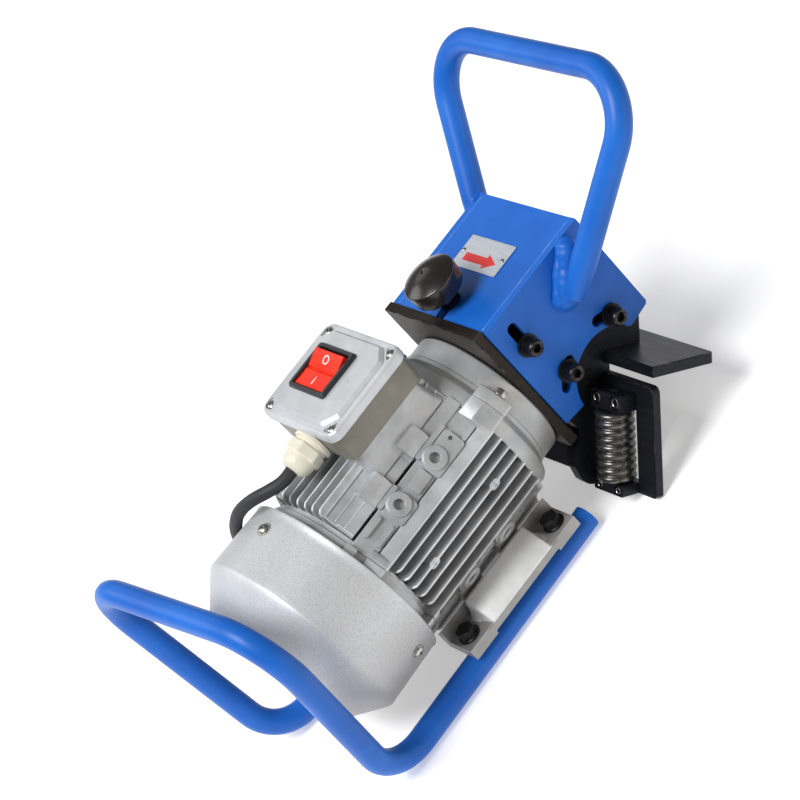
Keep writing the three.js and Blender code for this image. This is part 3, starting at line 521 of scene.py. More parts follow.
class Form:
    """One piece's mesh while it is drawn. `paint` is the material index given to what is added."""

    def __init__(self):
        self.vertices = []
        self.faces = []
        self.paints = []
        self.paint = 0

    def add(self, vertices, faces, place=UPRIGHT):
        start = len(self.vertices)
        self.vertices += [place @ Vector(v) for v in vertices]
        for face in faces:
            self.faces.append([start + i for i in face])
            self.paints.append(self.paint)
        return self

    def loft(self, rings, place=UPRIGHT, caps=True, closed=False):
        """Skins a row of outlines that all have as many points."""
        count = len(rings[0])
        faces = []
        for r in range(len(rings) if closed else len(rings) - 1):
            for k in range(count):
                low, high = r * count, (r + 1) % len(rings) * count
                after = (k + 1) % count
                faces.append((low + k, low + after, high + after, high + k))
        if caps and not closed:
            faces.append(tuple(range(count))[::-1])
            faces.append(tuple(len(rings) * count - count + k for k in range(count)))
        return self.add([v for ring in rings for v in ring], faces, place)

    def lathe(self, profile, place=UPRIGHT, sides=72):
        """Turns (distance, radius) points about local Z."""
        rings = []
        for distance, radius in profile:
            rings.append([(radius * math.cos(2 * math.pi * k / sides),
                           radius * math.sin(2 * math.pi * k / sides), distance) for k in range(sides)])
        return self.loft(rings, place, caps=False, closed=all(r > 0 for _, r in profile))

    def prism(self, outline, low, high, place=UPRIGHT, holes=()):
        """A flat plate from an outline with holes, between two heights."""
        loops = [outline, *holes]
        flat = [point for loop in loops for point in loop]
        count = len(flat)
        vertices = [(a, b, h) for h in (low, high) for a, b in flat]
        faces = []
        for triangle in tessellate_polygon([[Vector((a, b, 0)) for a, b in loop] for loop in loops]):
            faces.append(tuple(triangle))
            faces.append(tuple(count + i for i in triangle[::-1]))
        start = 0
        for loop in loops:
            for k in range(len(loop)):
                first, second = start + k, start + (k + 1) % len(loop)
                faces.append((first, second, count + second, count + first))
            start += len(loop)
        return self.add(vertices, faces, place)

    def block(self, low, high, place=UPRIGHT):
        outline = [(low[0], low[1]), (high[0], low[1]), (high[0], high[1]), (low[0], high[1])]
        return self.prism(outline, low[2], high[2], place)

    def sweep(self, route, radius, sides=40, bore=0.0, squeeze=None):
        """A tube along a route; squeeze(share of its length) gives scales of width and height."""
        route = [Vector(point) for point in route]
        forward = (route[1] - route[0]).normalized()
        across = forward.orthogonal().normalized()
        if abs(forward.z) < 0.95:
            across = forward.cross(Vector((0, 0, 1))).normalized()
        frames = []
        for k, point in enumerate(route):
            ahead = (route[min(k + 1, len(route) - 1)] - route[max(k - 1, 0)]).normalized()
            across = (across - ahead * across.dot(ahead)).normalized()
            frames.append((point, across, ahead.cross(across)))

        def ring(k, size):
            point, side, up = frames[k]
            wide, tall = squeeze(k / (len(frames) - 1)) if squeeze else (1.0, 1.0)
            turns = [2 * math.pi * s / sides for s in range(sides)]
            return [point + side * size * wide * math.cos(t) + up * size * tall * math.sin(t) for t in turns]

        rings = [ring(k, radius) for k in range(len(frames))]
        if bore:
            rings += [ring(k, bore) for k in reversed(range(len(frames)))]
        return self.loft(rings, caps=not bore, closed=bool(bore))

    def done(self, name, looks, body, stands_for=(), bevel=0.4, flat=False, edge=False):
        """Makes the object. With edge, the last look is given to its bevelled edges."""
        looks = looks if isinstance(looks, (list, tuple)) else [looks]
        mesh = bpy.data.meshes.new(name)
        mesh.from_pydata([at(*v) for v in self.vertices], [], self.faces)
        mesh.polygons.foreach_set("material_index", self.paints)
        for look in looks:
            mesh.materials.append(look)
        work = bmesh.new()
        work.from_mesh(mesh)
        bmesh.ops.remove_doubles(work, verts=work.verts, dist=0.0005 * MM)
        bmesh.ops.recalc_face_normals(work, faces=work.faces)
        if flat:
            bmesh.ops.dissolve_limit(work, angle_limit=math.radians(0.5), verts=work.verts,
                                     edges=work.edges, delimit={"MATERIAL"})
        work.to_mesh(mesh)
        work.free()
        item = put(name, mesh)
        soften(item, bevel, len(looks) - 1 if edge else -1)
        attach(item, body)
        if stands_for:
            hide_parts(*stands_for)
        return item


def soften(item, bevel, edge_look=-1, angle=32):
    """Smooth shading, with a small real bevel on every sharp edge."""
    item.data.shade_smooth()
    if bevel:
        modifier = item.modifiers.new("edges", "BEVEL")
        modifier.width = bevel * MM
        modifier.segments = 2
        modifier.limit_method = "ANGLE"
        modifier.angle_limit = math.radians(angle)
        modifier.harden_normals = True
        modifier.use_clamp_overlap = True
        modifier.material = edge_look


def dress(node, look, bevel=0.4, edge_look=None):
    """Gives a CAD node its finish and soft edges; its mesh and place stay as they are."""
    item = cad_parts[node]
    item.data.materials.clear()
    item.data.materials.append(look)
    if edge_look:
        item.data.materials.append(edge_look)
    if "custom_normal" in item.data.attributes:
        item.data.attributes.remove(item.data.attributes["custom_normal"])
    weld = item.modifiers.new("weld", "WELD")
    weld.merge_threshold = 0.01 * MM
    merge = item.modifiers.new("flats", "DECIMATE")
    merge.decimate_type = "DISSOLVE"
    merge.angle_limit = math.radians(1.0)
    soften(item, bevel, 1 if edge_look else -1)


SPRING_CLIMB = 0.35


def spring_washer(form, place, inner, outer, low, thick):
    """A split washer that climbs a little from one of its ends to the other."""
    start, sweep = math.radians(8), math.radians(344)
    rings = []
    for k in range(37):
        turn = start + sweep * k / 36
        height = low + SPRING_CLIMB * k / 36
        rings.append([(r * math.cos(turn), r * math.sin(turn), height + h)
                      for r, h in ((inner, 0), (outer, 0), (outer, thick), (inner, thick))])
    form.loft(rings, place)


def socket_screw(form, place, head, height, washer=0.0, washer_thick=0.0, spring=0.0):
    """A socket head screw standing on local Z, with a washer and a split spring washer under it."""
    bore = head * 0.62
    low = washer_thick
    if washer_thick:
        form.lathe([(0, bore), (0, washer), (washer_thick, washer), (washer_thick, bore)], place, 48)
    if spring:
        spring_washer(form, place, bore, head * 1.08, low, spring)
        low += spring + SPRING_CLIMB
    top = low + height
    ribs = 40
    turns = [math.pi * k / ribs for k in range(ribs * 2)]
    rings = []
    for z, shrink, groove in ((low, 0.3, 0), (low + 0.4, 0, 0.22),
                              (top - 1.3, 0, 0.22), (top - 0.9, 0.35, 0)):
        ring = []
        for k, turn in enumerate(turns):
            radius = head - shrink - groove * (k % 2)
            ring.append((radius * math.cos(turn), radius * math.sin(turn), z))
        rings.append(ring)
    form.loft(rings, place, caps=False)
    form.paint = 1
    hexagon = []
    for turn in turns:
        radius = head * 0.46 / off_flat(turn)
        hexagon.append((radius * math.cos(turn), radius * math.sin(turn)))
    unit = [(math.cos(turn), math.sin(turn)) for turn in turns]
    crown = [scaled(unit, size, z) for size, z in
             ((head - 0.35, top - 0.9), (head - 1.0, top), (head * 0.64, top))]
    rim = level(hexagon, top - 0.5)
    form.loft(crown + [rim], place, caps=False)
    form.paint = 0
    bottom = level(hexagon, top - height * 0.55)
    form.loft([rim, bottom], place, caps=False)
    form.add(bottom, [tuple(range(ribs * 2))], place)


def hex_prism(form, place, across, low, high, flange=0.0, flange_thick=0.0):
    """A hexagon head with a chamfered top, and a flange under it if one is asked for."""
    if flange:
        form.lathe([(low, across * 0.4), (low, flange), (low + flange_thick * 0.5, flange),
                    (low + flange_thick * 1.4, across * 0.56), (low + flange_thick * 1.4, across * 0.4)],
                   place, 48)
        low += flange_thick
    hexagon = [(math.cos(math.pi * k / 3) * across / math.sqrt(3),
                math.sin(math.pi * k / 3) * across / math.sqrt(3)) for k in range(6)]
    rings = [scaled(hexagon, share, z) for z, share in ((low, 1.0), (high - 0.9, 1.0), (high, 0.88))]
    form.loft(rings, place)


def pan_screw(form, place, radius, height):
    """A domed pan head with a cross recess."""
    form.lathe([(0, radius), (height * 0.45, radius), (height * 0.8, radius * 0.8),
                (height, radius * 0.42), (height, 0)], place, 32)
    form.paint = 1
    for turn in (0, math.pi / 2):
        arm = place @ Matrix.Rotation(turn, 4, "Z")
        form.block((-radius * 0.55, -radius * 0.11, height * 0.9),
                   (radius * 0.55, radius * 0.11, height * 1.03), arm)
    form.paint = 0


make_camera()


# ---- Mains lead -----------------------------------------------------------------------------
COIL = (-95.0, 150.0)
COIL_MIDDLE = 52.25
COIL_INNER = COIL_MIDDLE - CORD
COIL_OUTER = COIL_MIDDLE + CORD
LEAD_DOWN = [
    (-143.8, 0, GLAND_Z), (-153, 0.5, GLAND_Z), (-163, 6, 92), (-173, 18, 90), (-181, 34, 82),
    (-186, 51, 68), (-189, 67, 50), (-189.5, 80, 29), (-187, 89, 6), (-182, 96, -17),
    (-176, 102, -40), (-169.5, 108, -62), (-164.5, 116, -80), (-161.5, 125, -90.5),
    (-159, 136, FLOOR + 5.5)]
PLUG_X = COIL[0] + 50
PLUG_Z = FLOOR + 3 * CORD + 0.3 + 17


def coil_route():
    """Three layers of two turns, wound in, out and in again, clockwise seen from above."""
    points = []
    steps = 16
    for k in range(6 * steps + 1):
        turn = k / steps
        layer = min(int(turn / 2), 2)
        share = turn - 2 * layer
        radius = COIL_INNER + CORD * share if layer == 1 else COIL_OUTER - CORD * share
        climb = max(0.0, (share - 1.86) / 0.14) if layer < 2 else 0.0
        climb = climb * climb * (3 - 2 * climb)
        height = FLOOR + 0.3 + CORD / 2 + CORD * (layer + climb)
        angle = math.pi - 2 * math.pi * turn
        points.append((COIL[0] + radius * math.cos(angle), COIL[1] + radius * math.sin(angle), height))
    return points


def tail_route():
    """From the top of the coil round to the plug, which lies across it."""
    start = FLOOR + 0.3 + CORD * 2.5
    points = []
    for k in range(1, 9):
        share = k / 8
        angle = math.pi * (1 - share)
        radius = COIL_INNER + (PLUG_X - COIL[0] - COIL_INNER) * share
        height = start + (PLUG_Z - start) * share * share * (3 - 2 * share)
        points.append((COIL[0] + radius * math.cos(angle), COIL[1] + radius * math.sin(angle) + 9 * share,
                       height))
    points[-1] = (PLUG_X, 161.0, PLUG_Z)
    return points


def make_plug():
    """A moulded plug with ribbed sides, a tapered sleeve and two round pins."""
    form = Form()
    place = heading((PLUG_X, 0, PLUG_Z), (0, 1, 0))
    form.lathe([(160, 0), (160, 4.9), (166, 4.9), (166, 6.5), (164, 7.1), (162.5, 6.6), (161, 7.4),
                (159, 6.9), (157, 7.7), (155, 7.2), (153, 8.1), (150, 7.9), (146, 9), (142, 14.6),
                (139, 16.4), (136, 17), (112.5, 17), (111, 16.2), (110, 14.6), (110, 0)], place, 48)
    for turn in range(12):
        rib = place @ Matrix.Rotation(math.pi * turn / 6, 4, "Z")
        form.block((15.9, -1.1, 115), (16.99, 1.1, 134), rib)
    form.paint = 1
    for x in (-9.5, 9.5):
        pin = place @ Matrix.Translation((x, 0, 0))
        form.lathe([(110.5, 0), (110.5, 2.4), (92, 2.4), (91, 1.6), (91, 0)], pin, 24)
    return form.done("plug", [DARK_PLASTIC, ZINC], "motor", ["mains_plug"], 0.3)


def make_lead():
    """The lead, from the gland down to its coil on the floor and on to the plug."""
    plug = make_plug()
    route = LEAD_DOWN + coil_route() + tail_route()
    curve = bpy.data.curves.new("lead", "CURVE")
    curve.dimensions = "3D"
    curve.bevel_depth = CORD / 2 * MM
    curve.bevel_resolution = 5
    curve.resolution_u = 6
    curve.use_fill_caps = True
    spline = curve.splines.new("BEZIER")
    spline.bezier_points.add(len(route) - 1)
    for point, place in zip(spline.bezier_points, route):
        point.co = at(*place)
        point.handle_left_type = point.handle_right_type = "AUTO"
    curve.materials.append(RUBBER)
    lead = put("lead", curve)
    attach(lead, "motor")
    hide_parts("mains_cord", "mains_cord_coil")


# ---- Motor ----------------------------------------------------------------------------------
ROWS = ((37, 1), (143, -1), (217, 1), (-37, -1))
BOSS_X = (-119.5, -78.3)
BAND_REAR = (-161.6, 0)
FIN_FRONT = (-38.4, 0)
REAR_LUG = [(62, -4), (73.6, -5.4), (75.6, -18.8), (74.4, -21), (61, -14)]
LUG = [(62, 6), (71.6, 6), (75.9, -3.6), (76, -5.6), (75.4, -19.6), (74.2, -21), (61, -14)]


def row_turn(angle):
    """A turn about the motor's axis, from straight up to one of its rows."""
    return Matrix.Rotation(math.radians(angle), 4, "X")


def run_along(form, row, section, *stations):
    """Runs a section of (height, across) along X on one row; stations are (x, drop of its top)."""
    angle, flip = row
    rings = []
    for x, drop in stations:
        rings.append([(x, u - drop * (u > 68), flip * v) for u, v in section])
    form.loft(rings, row_turn(angle))


def raised(form, row, low, high, top, corner=2.0, draft=0.0, holes=()):
    """A cast block on one row, from its lowest and highest (x, across) corners."""
    angle, flip = row
    outline = softened([low, (high[0], low[1]), high, (low[0], high[1])], corner)
    loops = [[(x, -flip * across) for x, across in loop] for loop in (outline, *holes)]
    place = row_turn(angle) @ axes((0, 0, 0), (1, 0, 0), (0, 0, -1))
    if not draft:
        form.prism(loops[0], 61, top, place, loops[1:])
        return
    middle = ((low[0] + high[0]) / 2, -flip * (low[1] + high[1]) / 2)
    rings = []
    for height, grow in ((61, draft), (top, 0.0)):
        rings.append([(x + math.copysign(grow, x - middle[0]), y + math.copysign(grow, y - middle[1]), height)
                      for x, y in loops[0]])
    form.loft(rings, place)


def make_housing():
    """The finned barrel, with a slanted band under each row of castings."""
    form = Form()
    # The barrel between the fins takes the dark copy: painted shade in the valleys.
    form.paint = 1
    form.lathe([(-162, 62), (-162, 63.4), (-38, 63.4), (-38, 62)], ALONG_X, 120)
    form.paint = 0
    form.lathe([(-162, 62), (-162, 66.4), (-158.4, 66.4), (-157.6, 65.6), (-157.6, 62)], ALONG_X, 120)
    for turn, reach in ((0, 2), (90, 3), (180, 2), (270, 3)):
        spin = row_turn(turn)
        for k in range(-reach, reach + 1):
            middle = k * 9.6
            root = math.sqrt(62.6 ** 2 - (abs(middle) + 1.4) ** 2)
            section = [(root, -1.4), (72.6, -0.95), (73.4, -0.5), (73.4, 0.5), (72.6, 0.95), (root, 1.4)]
            rings = []
            for x, drop in ((-158.6, 6.5), (-157.4, 2.2), (-155.2, 0.4), (-153.4, 0), (-38.2, 0)):
                rings.append([(x, u - drop * (u > 68), v + middle) for u, v in section])
            form.loft(rings, spin)
    for row in ROWS:
        run_along(form, row, [(62, -8), (70.4, -10.6), (75.3, -21), (74.9, -21.9), (60.6, -15.4)],
                  BAND_REAR, FIN_FRONT)
        run_along(form, row, [(62, -9), (68.4, -9), (68.4, 9), (62, 9)], BAND_REAR, FIN_FRONT)
        run_along(form, row, [(61.5, 11), (68.6, 11.4), (67.6, 25), (65.8, 38.6), (49.2, 38.6), (55.5, 28)],
                  (-157.2, 2), (-155.6, 0), FIN_FRONT)
        for across in (19.6, 27.6, 35.2):
            top = 69.4 - across * 0.05
            rib = [(60, across - 0.9), (top, across - 0.6), (top, across + 0.6), (60, across + 0.9)]
            run_along(form, row, rib, (-156, 2), (-154.6, 0), FIN_FRONT)
    form.done("housing_skin", [CAST, VALLEY_SHADE, BARE_LIT_EDGE], "motor", ["motor_housing"], 0.35,
              edge=True)


def make_castings():
    """Pads with ringed bosses, steps, ribs and bolt lugs along each row, and the box's pedestal."""
    form = Form()
    for row in ROWS:
        ring_hole = [circle((x, 0), 3.9) for x in BOSS_X]
        raised(form, row, (-88.6, -10.9), (-56.8, 6.6), 72.2, 3.0,
               holes=[ring_hole[1], circle((-60.6, -0.2), 1.7, 12)])
        raised(form, row, (-131, -10.9), (-111, 6.6), 72.2, 3.0, holes=[ring_hole[0]])
        for low, high, top, draft in (
                ((-86.4, 7.4), (-55.6, 11.2), 71.4, 0.3), ((-130, 7.4), (-110, 11.2), 71.4, 0.3),
                ((-68.4, 8.2), (-36.6, 18.8), 69.6, 1.0), ((-109.6, 12), (-92, 18.8), 69.6, 1.0),
                ((-105.4, -6.6), (-89.4, 3.2), 70.6, 0.8), ((-152, -7.6), (-134, -3.4), 71, 0.5),
                ((-152, 3.4), (-134, 7.6), 71, 0.5), ((-56.4, -9.6), (-43, -6.4), 71.2, 0.3)):
            raised(form, row, low, high, top, 1.6, draft)
        for rear_end, front_end in ((-131, -111.2), (-87.8, -69.2)):
            step = [(61, 10), (71.4, 11.6), (75, 17.4), (75, 25.4), (66, 30), (57, 25)]
            run_along(form, row, step, (rear_end - 0.8, 3), (rear_end, 0), (front_end, 0),
                      (front_end + 0.8, 3))
        for x in BOSS_X:
            boss = row_turn(row[0]) @ heading((x, 0, 0), (0, 1, 0))
            form.lathe([(71, 9.4), (73.9, 8.8), (74.5, 8.1), (74.5, 4.6), (73.6, 3.8), (65, 3.8), (65, 0)],
                       boss, 40)
        lug_front = -26.5 if row in ROWS[:2] else FIN_FRONT[0]
        run_along(form, row, LUG, (-43.4, 4), (-42.2, 0.8), (-41, 0), (lug_front, 0))
        run_along(form, row, REAR_LUG, (-161.8, 0), (-157, 0), (-155.6, 0.8), (-154.6, 4))
    form.done("housing_castings", [CAST, BARE_LIT_EDGE], "motor", (), 0.6, edge=True)
    pedestal = Form()
    rings = []
    for z, grow in ((58, 5.0), (64, 2.2), (70, 0.8), (76, 0.0), (81.8, 0.0)):
        rings.append(level(rounded(-113 - grow, -39 - grow, -43 + grow, 39 + grow, 7), z))
    pedestal.loft(rings)
    pedestal.done("terminal_pedestal", CAST, "motor", (), 0.5)


def make_fin_bosses():
    """Small oblong bosses on the middle side fins, each with a blind hole."""
    bosses = Form()
    for _, side in SIDES:
        for x in (-64.5, -134.2):
            place = heading((x, side * 62.4, 0), (0, side, 0))
            hole = circle((0, 0), 1.5, 12)
            bosses.prism(rounded(-4.4, -3.0, 4.4, 3.0, 2.6, 4), 0, 10.9, place, [hole])
            bosses.prism(rounded(-3.4, -2.2, 3.4, 2.2, 1.4, 3), 0, 6.5, place)
    bosses.done("fin_bosses", [CAST, BARE_LIT_EDGE], "motor", (), 0.5, edge=True)


def make_end_shields():
    """The two end shields with their lugs, and the screws that tie the front one."""
    front = Form()
    front.lathe([(3, 11), (3, 39.2), (-0.3, 39.2), (-0.3, 58.4), (-1.4, 59.6), (-3, 60), (-17.2, 60),
                 (-17.6, 60.7), (-20.8, 60.9), (-22.6, 62.8), (-24.2, 65.4), (-25.8, 68), (-27.6, 69),
                 (-37.7, 69), (-37.7, 61.5), (-29, 61.5), (-26, 58), (-26, 28), (-28, 28), (-28, 23.8),
                 (-8, 23.8), (-8, 11)], ALONG_X, 120)
    rear = Form()
    rear.lathe([(-162.3, 61.5), (-162.3, 69), (-174, 69), (-174, 9.5), (-172, 9.5), (-172, 20.3),
                (-159, 20.3), (-159, 26), (-170, 26), (-170, 58), (-166, 61.5)], ALONG_X, 120)
    screws = Form()
    for row in ROWS:
        run_along(rear, row, REAR_LUG, (-168.2, 0), (-162.3, 0))
        raised(rear, row, (-168.2, 3), (-162.3, 12), 73, 1.0)
        if row not in ROWS[:2]:
            continue
        run_along(front, row, LUG, (-26.1, 0), (-18, 0), (-16.8, 0.6), (-16, 3))
        tie = row_turn(row[0]) @ heading((-16.2, 70.4, row[1] * -9), (1, 0, 0), 0.3)
        screws.lathe([(0, 3), (0, 5.4), (0.9, 5.4), (0.9, 3)], tie, 32)
        hex_prism(screws, tie, 8.0, 0.9, 5.4)
    front.done("front_shield", SHIELD, "motor", ["front_end_shield"], 0.3)
    rear.done("rear_shield", CAST, "motor", ["rear_end_shield"], 0.3)
    screws.done("shield_screws", [ZINC, SCREW], "motor", (), 0.2)


COVER_SCREWS = (89, 208, -31)
COVER_RADIUS = 78.5


def make_fan_cover():
    """A pressed cover: a belted rim, a crease, a coned shoulder and a slotted flat end."""
    sides = 144
    profile = [(-168.6, 78.0), (-169.2, 78.5), (-171.0, 78.5), (-171.8, 78.1), (-176.0, 78.3)]
    profile += [(-176 - k * 4.5, 78.3 + k * 0.15) for k in range(1, 11)]
    profile += [(-222.0, 79.7), (-224.2, 78.6), (-227.0, 76.6)]
    profile += [(-227 - k * 3.0, 76.6 - k * 2.25) for k in range(1, 7)]
    profile += [(-247.6, 61.2), (-249.4, 58.8), (-249.95, 56.0), (-250.0, 53.0), (-250.0, 50.0)]
    profile += [(-250.0, r) for r in (45, 40, 35, 30, 25, 20, 16, 12, 8, 4)]
    profile += [(-250.0, 0.0)]
    vertices, faces = [], []
    for x, radius in profile:
        for k in range(sides):
            turn = 2 * math.pi * k / sides
            vertices.append((x, radius * math.cos(turn), radius * math.sin(turn)))
    for r in range(len(profile) - 1):
        middle = (profile[r][1] + profile[r + 1][1]) / 2
        on_grille = profile[r][0] < -249.99 and 18 < middle < 50
        for k in range(sides):
            if on_grille and abs(middle - 34) > 2 and k % 6 < 4:
                continue
            after = (k + 1) % sides
            faces.append((r * sides + k, r * sides + after, (r + 1) * sides + after, (r + 1) * sides + k))
    form = Form()
    form.add(vertices, faces)
    cover = form.done("fan_cover_shell", COVER, "motor", ["fan_cover"], 0)
    skin = cover.modifiers.new("wall", "SOLIDIFY")
    skin.thickness = 1.6 * MM
    skin.offset = -1.0
    soften(cover, 0.25)
    screws = Form()
    for angle in COVER_SCREWS:
        turn = math.radians(angle)
        out = (0, math.cos(turn), math.sin(turn))
        place = heading((-186.0, COVER_RADIUS * out[1], COVER_RADIUS * out[2]), out)
        screws.lathe([(0, 3), (0, 5.4), (0.8, 5.4), (0.8, 3)], place, 32)
        pan_screw(screws, place @ Matrix.Translation((0, 0, 0.8)), 3.9, 2.4)
    screws.done("cover_screws", [ZINC, SCREW], "motor", (), 0.2)


def lid_spot(a, b, share):
    """A point of the lid's outline drawn in towards its middle."""
    return (LID_X + (a - LID_X) * share, b * share)


def make_terminal_box():
    """The terminal box, its stepped lid with corner pockets, and the lid's screws."""
    box = Form()
    rings = []
    for z, shrink in ((82.3, 1.2), (83.6, 0.2), (94, 0.0), (104.6, 0.0), (104.8, -0.7), (106, -0.7)):
        rings.append(level(rounded(-117 + shrink, -43.5 + shrink, -39.5 - shrink, 43.5 - shrink, 7), z))
    inner = [level(rounded(-113, -39.5, -43.5, 39.5, 5), z) for z in (106, 86)]
    box.loft(rings + inner)
    box.done("box_body", BOX_GREY, "motor", ["terminal_box"], 0.4)

    lid = Form()
    hole = softened([(-93, -11.5), (-59, -11.5), (-59, 25.5), (-93, 25.5)], 1.5)
    outside = rounded(-119, -46.4, -37.5, 46.4, 9)
    rounding = ((0.9995, 111.1), (0.99, 113.0), (0.974, 113.8), (0.955, 114.0), (0.95, 113.5))
    lid.loft([[(*lid_spot(a, b, share), z) for a, b in outside] for share, z in rounding], caps=False)
    pockets = []
    spots = []
    for x_side in (-1, 1):
        for y_side in (-1, 1):
            corner = [(25.4, 43.0), (37.2, 43.0), (37.2, 31.2)]
            pockets.append(softened([(LID_X + x_side * a, y_side * b) for a, b in corner], 3.2))
            spots.append((LID_X + x_side * 33.2, y_side * 39.0))
    lid.prism(outside, 106.3, 111.2, holes=[hole])
    lid.prism([lid_spot(a, b, 0.98) for a, b in outside], 111.0, 112.2, holes=[hole])
    lid.prism([lid_spot(a, b, 0.9545) for a, b in outside], 111.8, LID_TOP, holes=[hole, *pockets])
    octagon = [(-103, -41), (-53.5, -41), (-43, -30.5), (-43, 30.5), (-53.5, 41), (-103, 41),
               (-113.5, 30.5), (-113.5, -30.5)]
    low = softened(octagon, 4)
    bevel = ((1.0, 113.4), (1.0, 114.5), (0.944, 116.95), (0.935, 116.5))
    lid.loft([[(*lid_spot(a, b, share), z) for a, b in low] for share, z in bevel], caps=False)
    lid.prism([lid_spot(a, b, 0.9432) for a, b in low], 113.6, 116.94, holes=[hole])
    lid.done("box_lid", [LID_GREY, BARE_LIT_EDGE], "motor", ["terminal_lid"], 0.35, flat=True,
             edge=True)
    screws = Form()
    for x, y in spots:
        pan_screw(screws, heading((x, y, 112.1), (0, 0, 1), 0.6), 3.5, 2.4)
    screws.done("lid_screws", [ZINC, SCREW], "motor", (), 0.15)


def switch_spot(a, b, share_x, share_y):
    """A point of the bezel's crest, drawn in or out from the switch's middle."""
    return (SWITCH[0] + (a - SWITCH[0]) * share_x, SWITCH[1] + (b - SWITCH[1]) * share_y, 120.2)


def make_switch():
    """The raised bezel and the dished rocker with its I and O."""
    bezel = Form()
    outer = rounded(-95.7, -15.2, -56.3, 29.2, 2.5)
    inner = rounded(-92.2, -11.5, -59.8, 25.5, 1.2)
    bezel.loft([level(outer, 117.3), level(outer, 118.6),
                [switch_spot(a, b, 0.95, 0.955) for a, b in outer],
                [switch_spot(a, b, 1.015, 1.012) for a, b in inner],
                level(inner, 119.6), level(inner, 108)], caps=False)
    bezel.loft([level(outer, 117.3), level(inner, 117.3)], caps=False)
    bezel.done("bezel", DARK_PLASTIC, "motor", ["switch_bezel"], 0.2)
    lean = Matrix.Translation((SWITCH[0], 0, LID_TOP)) @ Matrix.Rotation(-ROCKER_LEAN, 4, "Y")
    place = lean @ axes((0, 0, 0), (1, 0, 0), (0, 0, 1))
    side = [(-14.5, -6), (14.5, -6), (14.5, 6.6), (13.9, 7.0)]
    side += [(13.4 - k * 2.4, 6.8 - 3.2 * math.sin(k * math.pi / 22)) for k in range(1, 6)]
    side += [(0, 3.5)]
    side += [(-(13.4 - k * 2.4), 6.8 - 3.2 * math.sin(k * math.pi / 22)) for k in range(5, 0, -1)]
    side += [(-13.9, 7.0), (-14.5, 6.6)]
    rocker = Form()
    rocker.prism(side, -24.8, 10.8, place)
    rocker.done("rocker", RED, "rocker", ["switch_rocker"], 0.5)
    marks = Form()
    bar = lean @ Matrix.Translation((-8.2, SWITCH[1], 5.85)) @ Matrix.Rotation(0.17, 4, "Y")
    marks.block((-3.3, -0.5, -0.6), (3.3, 0.5, 0.2), bar)
    ring_place = lean @ Matrix.Translation((8.2, SWITCH[1], 5.85)) @ Matrix.Rotation(-0.17, 4, "Y")
    marks.lathe([(-0.6, 2.5), (0.2, 2.5), (0.2, 3.5), (-0.6, 3.5)], ring_place, 36)
    marks.done("rocker_marks", MARK_WHITE, "rocker", (), 0)


def make_gland():
    """The cable gland: a collar and a domed nut."""
    place = Matrix.Translation((0, 0, GLAND_Z)) @ heading((0, 0, 0), (-1, 0, 0))
    body = Form()
    body.lathe([(112, 6), (112, 8), (117.3, 8), (117.3, 14.2), (117.6, 14.5), (120.2, 14.5), (120.9, 13.8),
                (120.9, 12.2), (123.3, 12.2), (123.3, 6)], place, 64)
    body.done("gland_ring", CREAM, "motor", ["gland_body"], 0.25)
    nut = Form()
    sides = 96
    rings = []
    for z, hexed, size in ((123.6, 1.0, 13.5), (124.2, 1.0, 14.0), (131.4, 1.0, 14.0), (132.2, 1.0, 13.3),
                           (132.3, 0.0, 11.7), (134.5, 0.0, 11.6), (137.5, 0.0, 11.2), (140, 0.0, 10.3),
                           (142, 0.0, 8.8), (143.2, 0.0, 6.8), (143.5, 0.0, 5.1), (136, 0.0, 5.1)):
        ring = []
        for k in range(sides):
            turn = 2 * math.pi * k / sides
            flat = min(size * 0.885 / off_flat(turn), size)
            radius = size + (flat - size) * hexed
            ring.append((radius * math.cos(turn), radius * math.sin(turn), z))
        rings.append(ring)
    nut.loft(rings, place)
    nut.done("gland_dome", CREAM, "motor", ["gland_nut"], 0.25)


FOOT_X = -100.6


def make_feet():
    """The feet, each with a rounded web over its CAD body, and their flanged bolts."""
    for name, side in SIDES:
        dress("foot_" + name, CAST, 0.8, BARE_LIT_EDGE)
        web = Form()
        corners = [(51, -59), (54.6, -54.8), (68.8, -64.4), (75.3, -70.0), (75.3, -71.6), (51, -71.6)]
        section = softened(corners, 1.8)
        rings = []
        for reach, drop in ((41, 16), (38, 13.4), (36, 9.6), (34.8, 5), (34.2, 1.6), (33.6, 0.4), (32.6, 0)):
            rings.append([(FOOT_X - reach, side * u, max(-71.4, v - drop)) for u, v in section])
        rings += [[(2 * FOOT_X - x, u, v) for x, u, v in ring] for ring in reversed(rings)]
        web.loft(rings)
        # The web takes the lighter copy of the cast aluminium: painted light on its slopes.
        web.done("foot_web_" + name, LIT_FOOT_GREY, "motor", (), 0)
        for end, x in (("front", FOOT_X + 50), ("rear", FOOT_X - 50)):
            node = "foot_bolt_" + end + "_" + name
            bolt = Form()
            stand = heading((x, side * 62.5, 0), (0, 0, 1), 0.35)
            hex_prism(bolt, stand, 13.0, -70.1, -62.3, 8.6, 1.4)
            bolt.lathe([(-87.5, 0), (-87.5, 4), (-70.1, 4), (-70.1, 0)], stand, 32)
            bolt.done(node + "_head", SCREW, "motor", [node], 0.3)


SKID = [(-28, -62.5, -90.3), (-262, -66, -90.3), (-262, -111, 98), (-284, 111, 103),
        (-276, 65, -90.3), (-28, 62.5, -90.3)]


def make_skid():
    """The bent tube that is both skid and rear handle."""
    form = Form()
    form.sweep(bent_route(SKID, [34, 42, 42, 34]), TUBE, 44, 8)
    form.done("skid_tube", [BLUE, BLUE_EDGE], "motor", ["skid_frame"], 0.5, edge=True)


# ---- Head box -------------------------------------------------------------------------------
def flat_in_xz(y_low, y_high, form, outline, holes=()):
    """A plate drawn in X and Z, standing between two Y values."""
    form.prism(outline, -y_high, -y_low, axes((0, 0, 0), (1, 0, 0), (0, 0, 1)), holes)


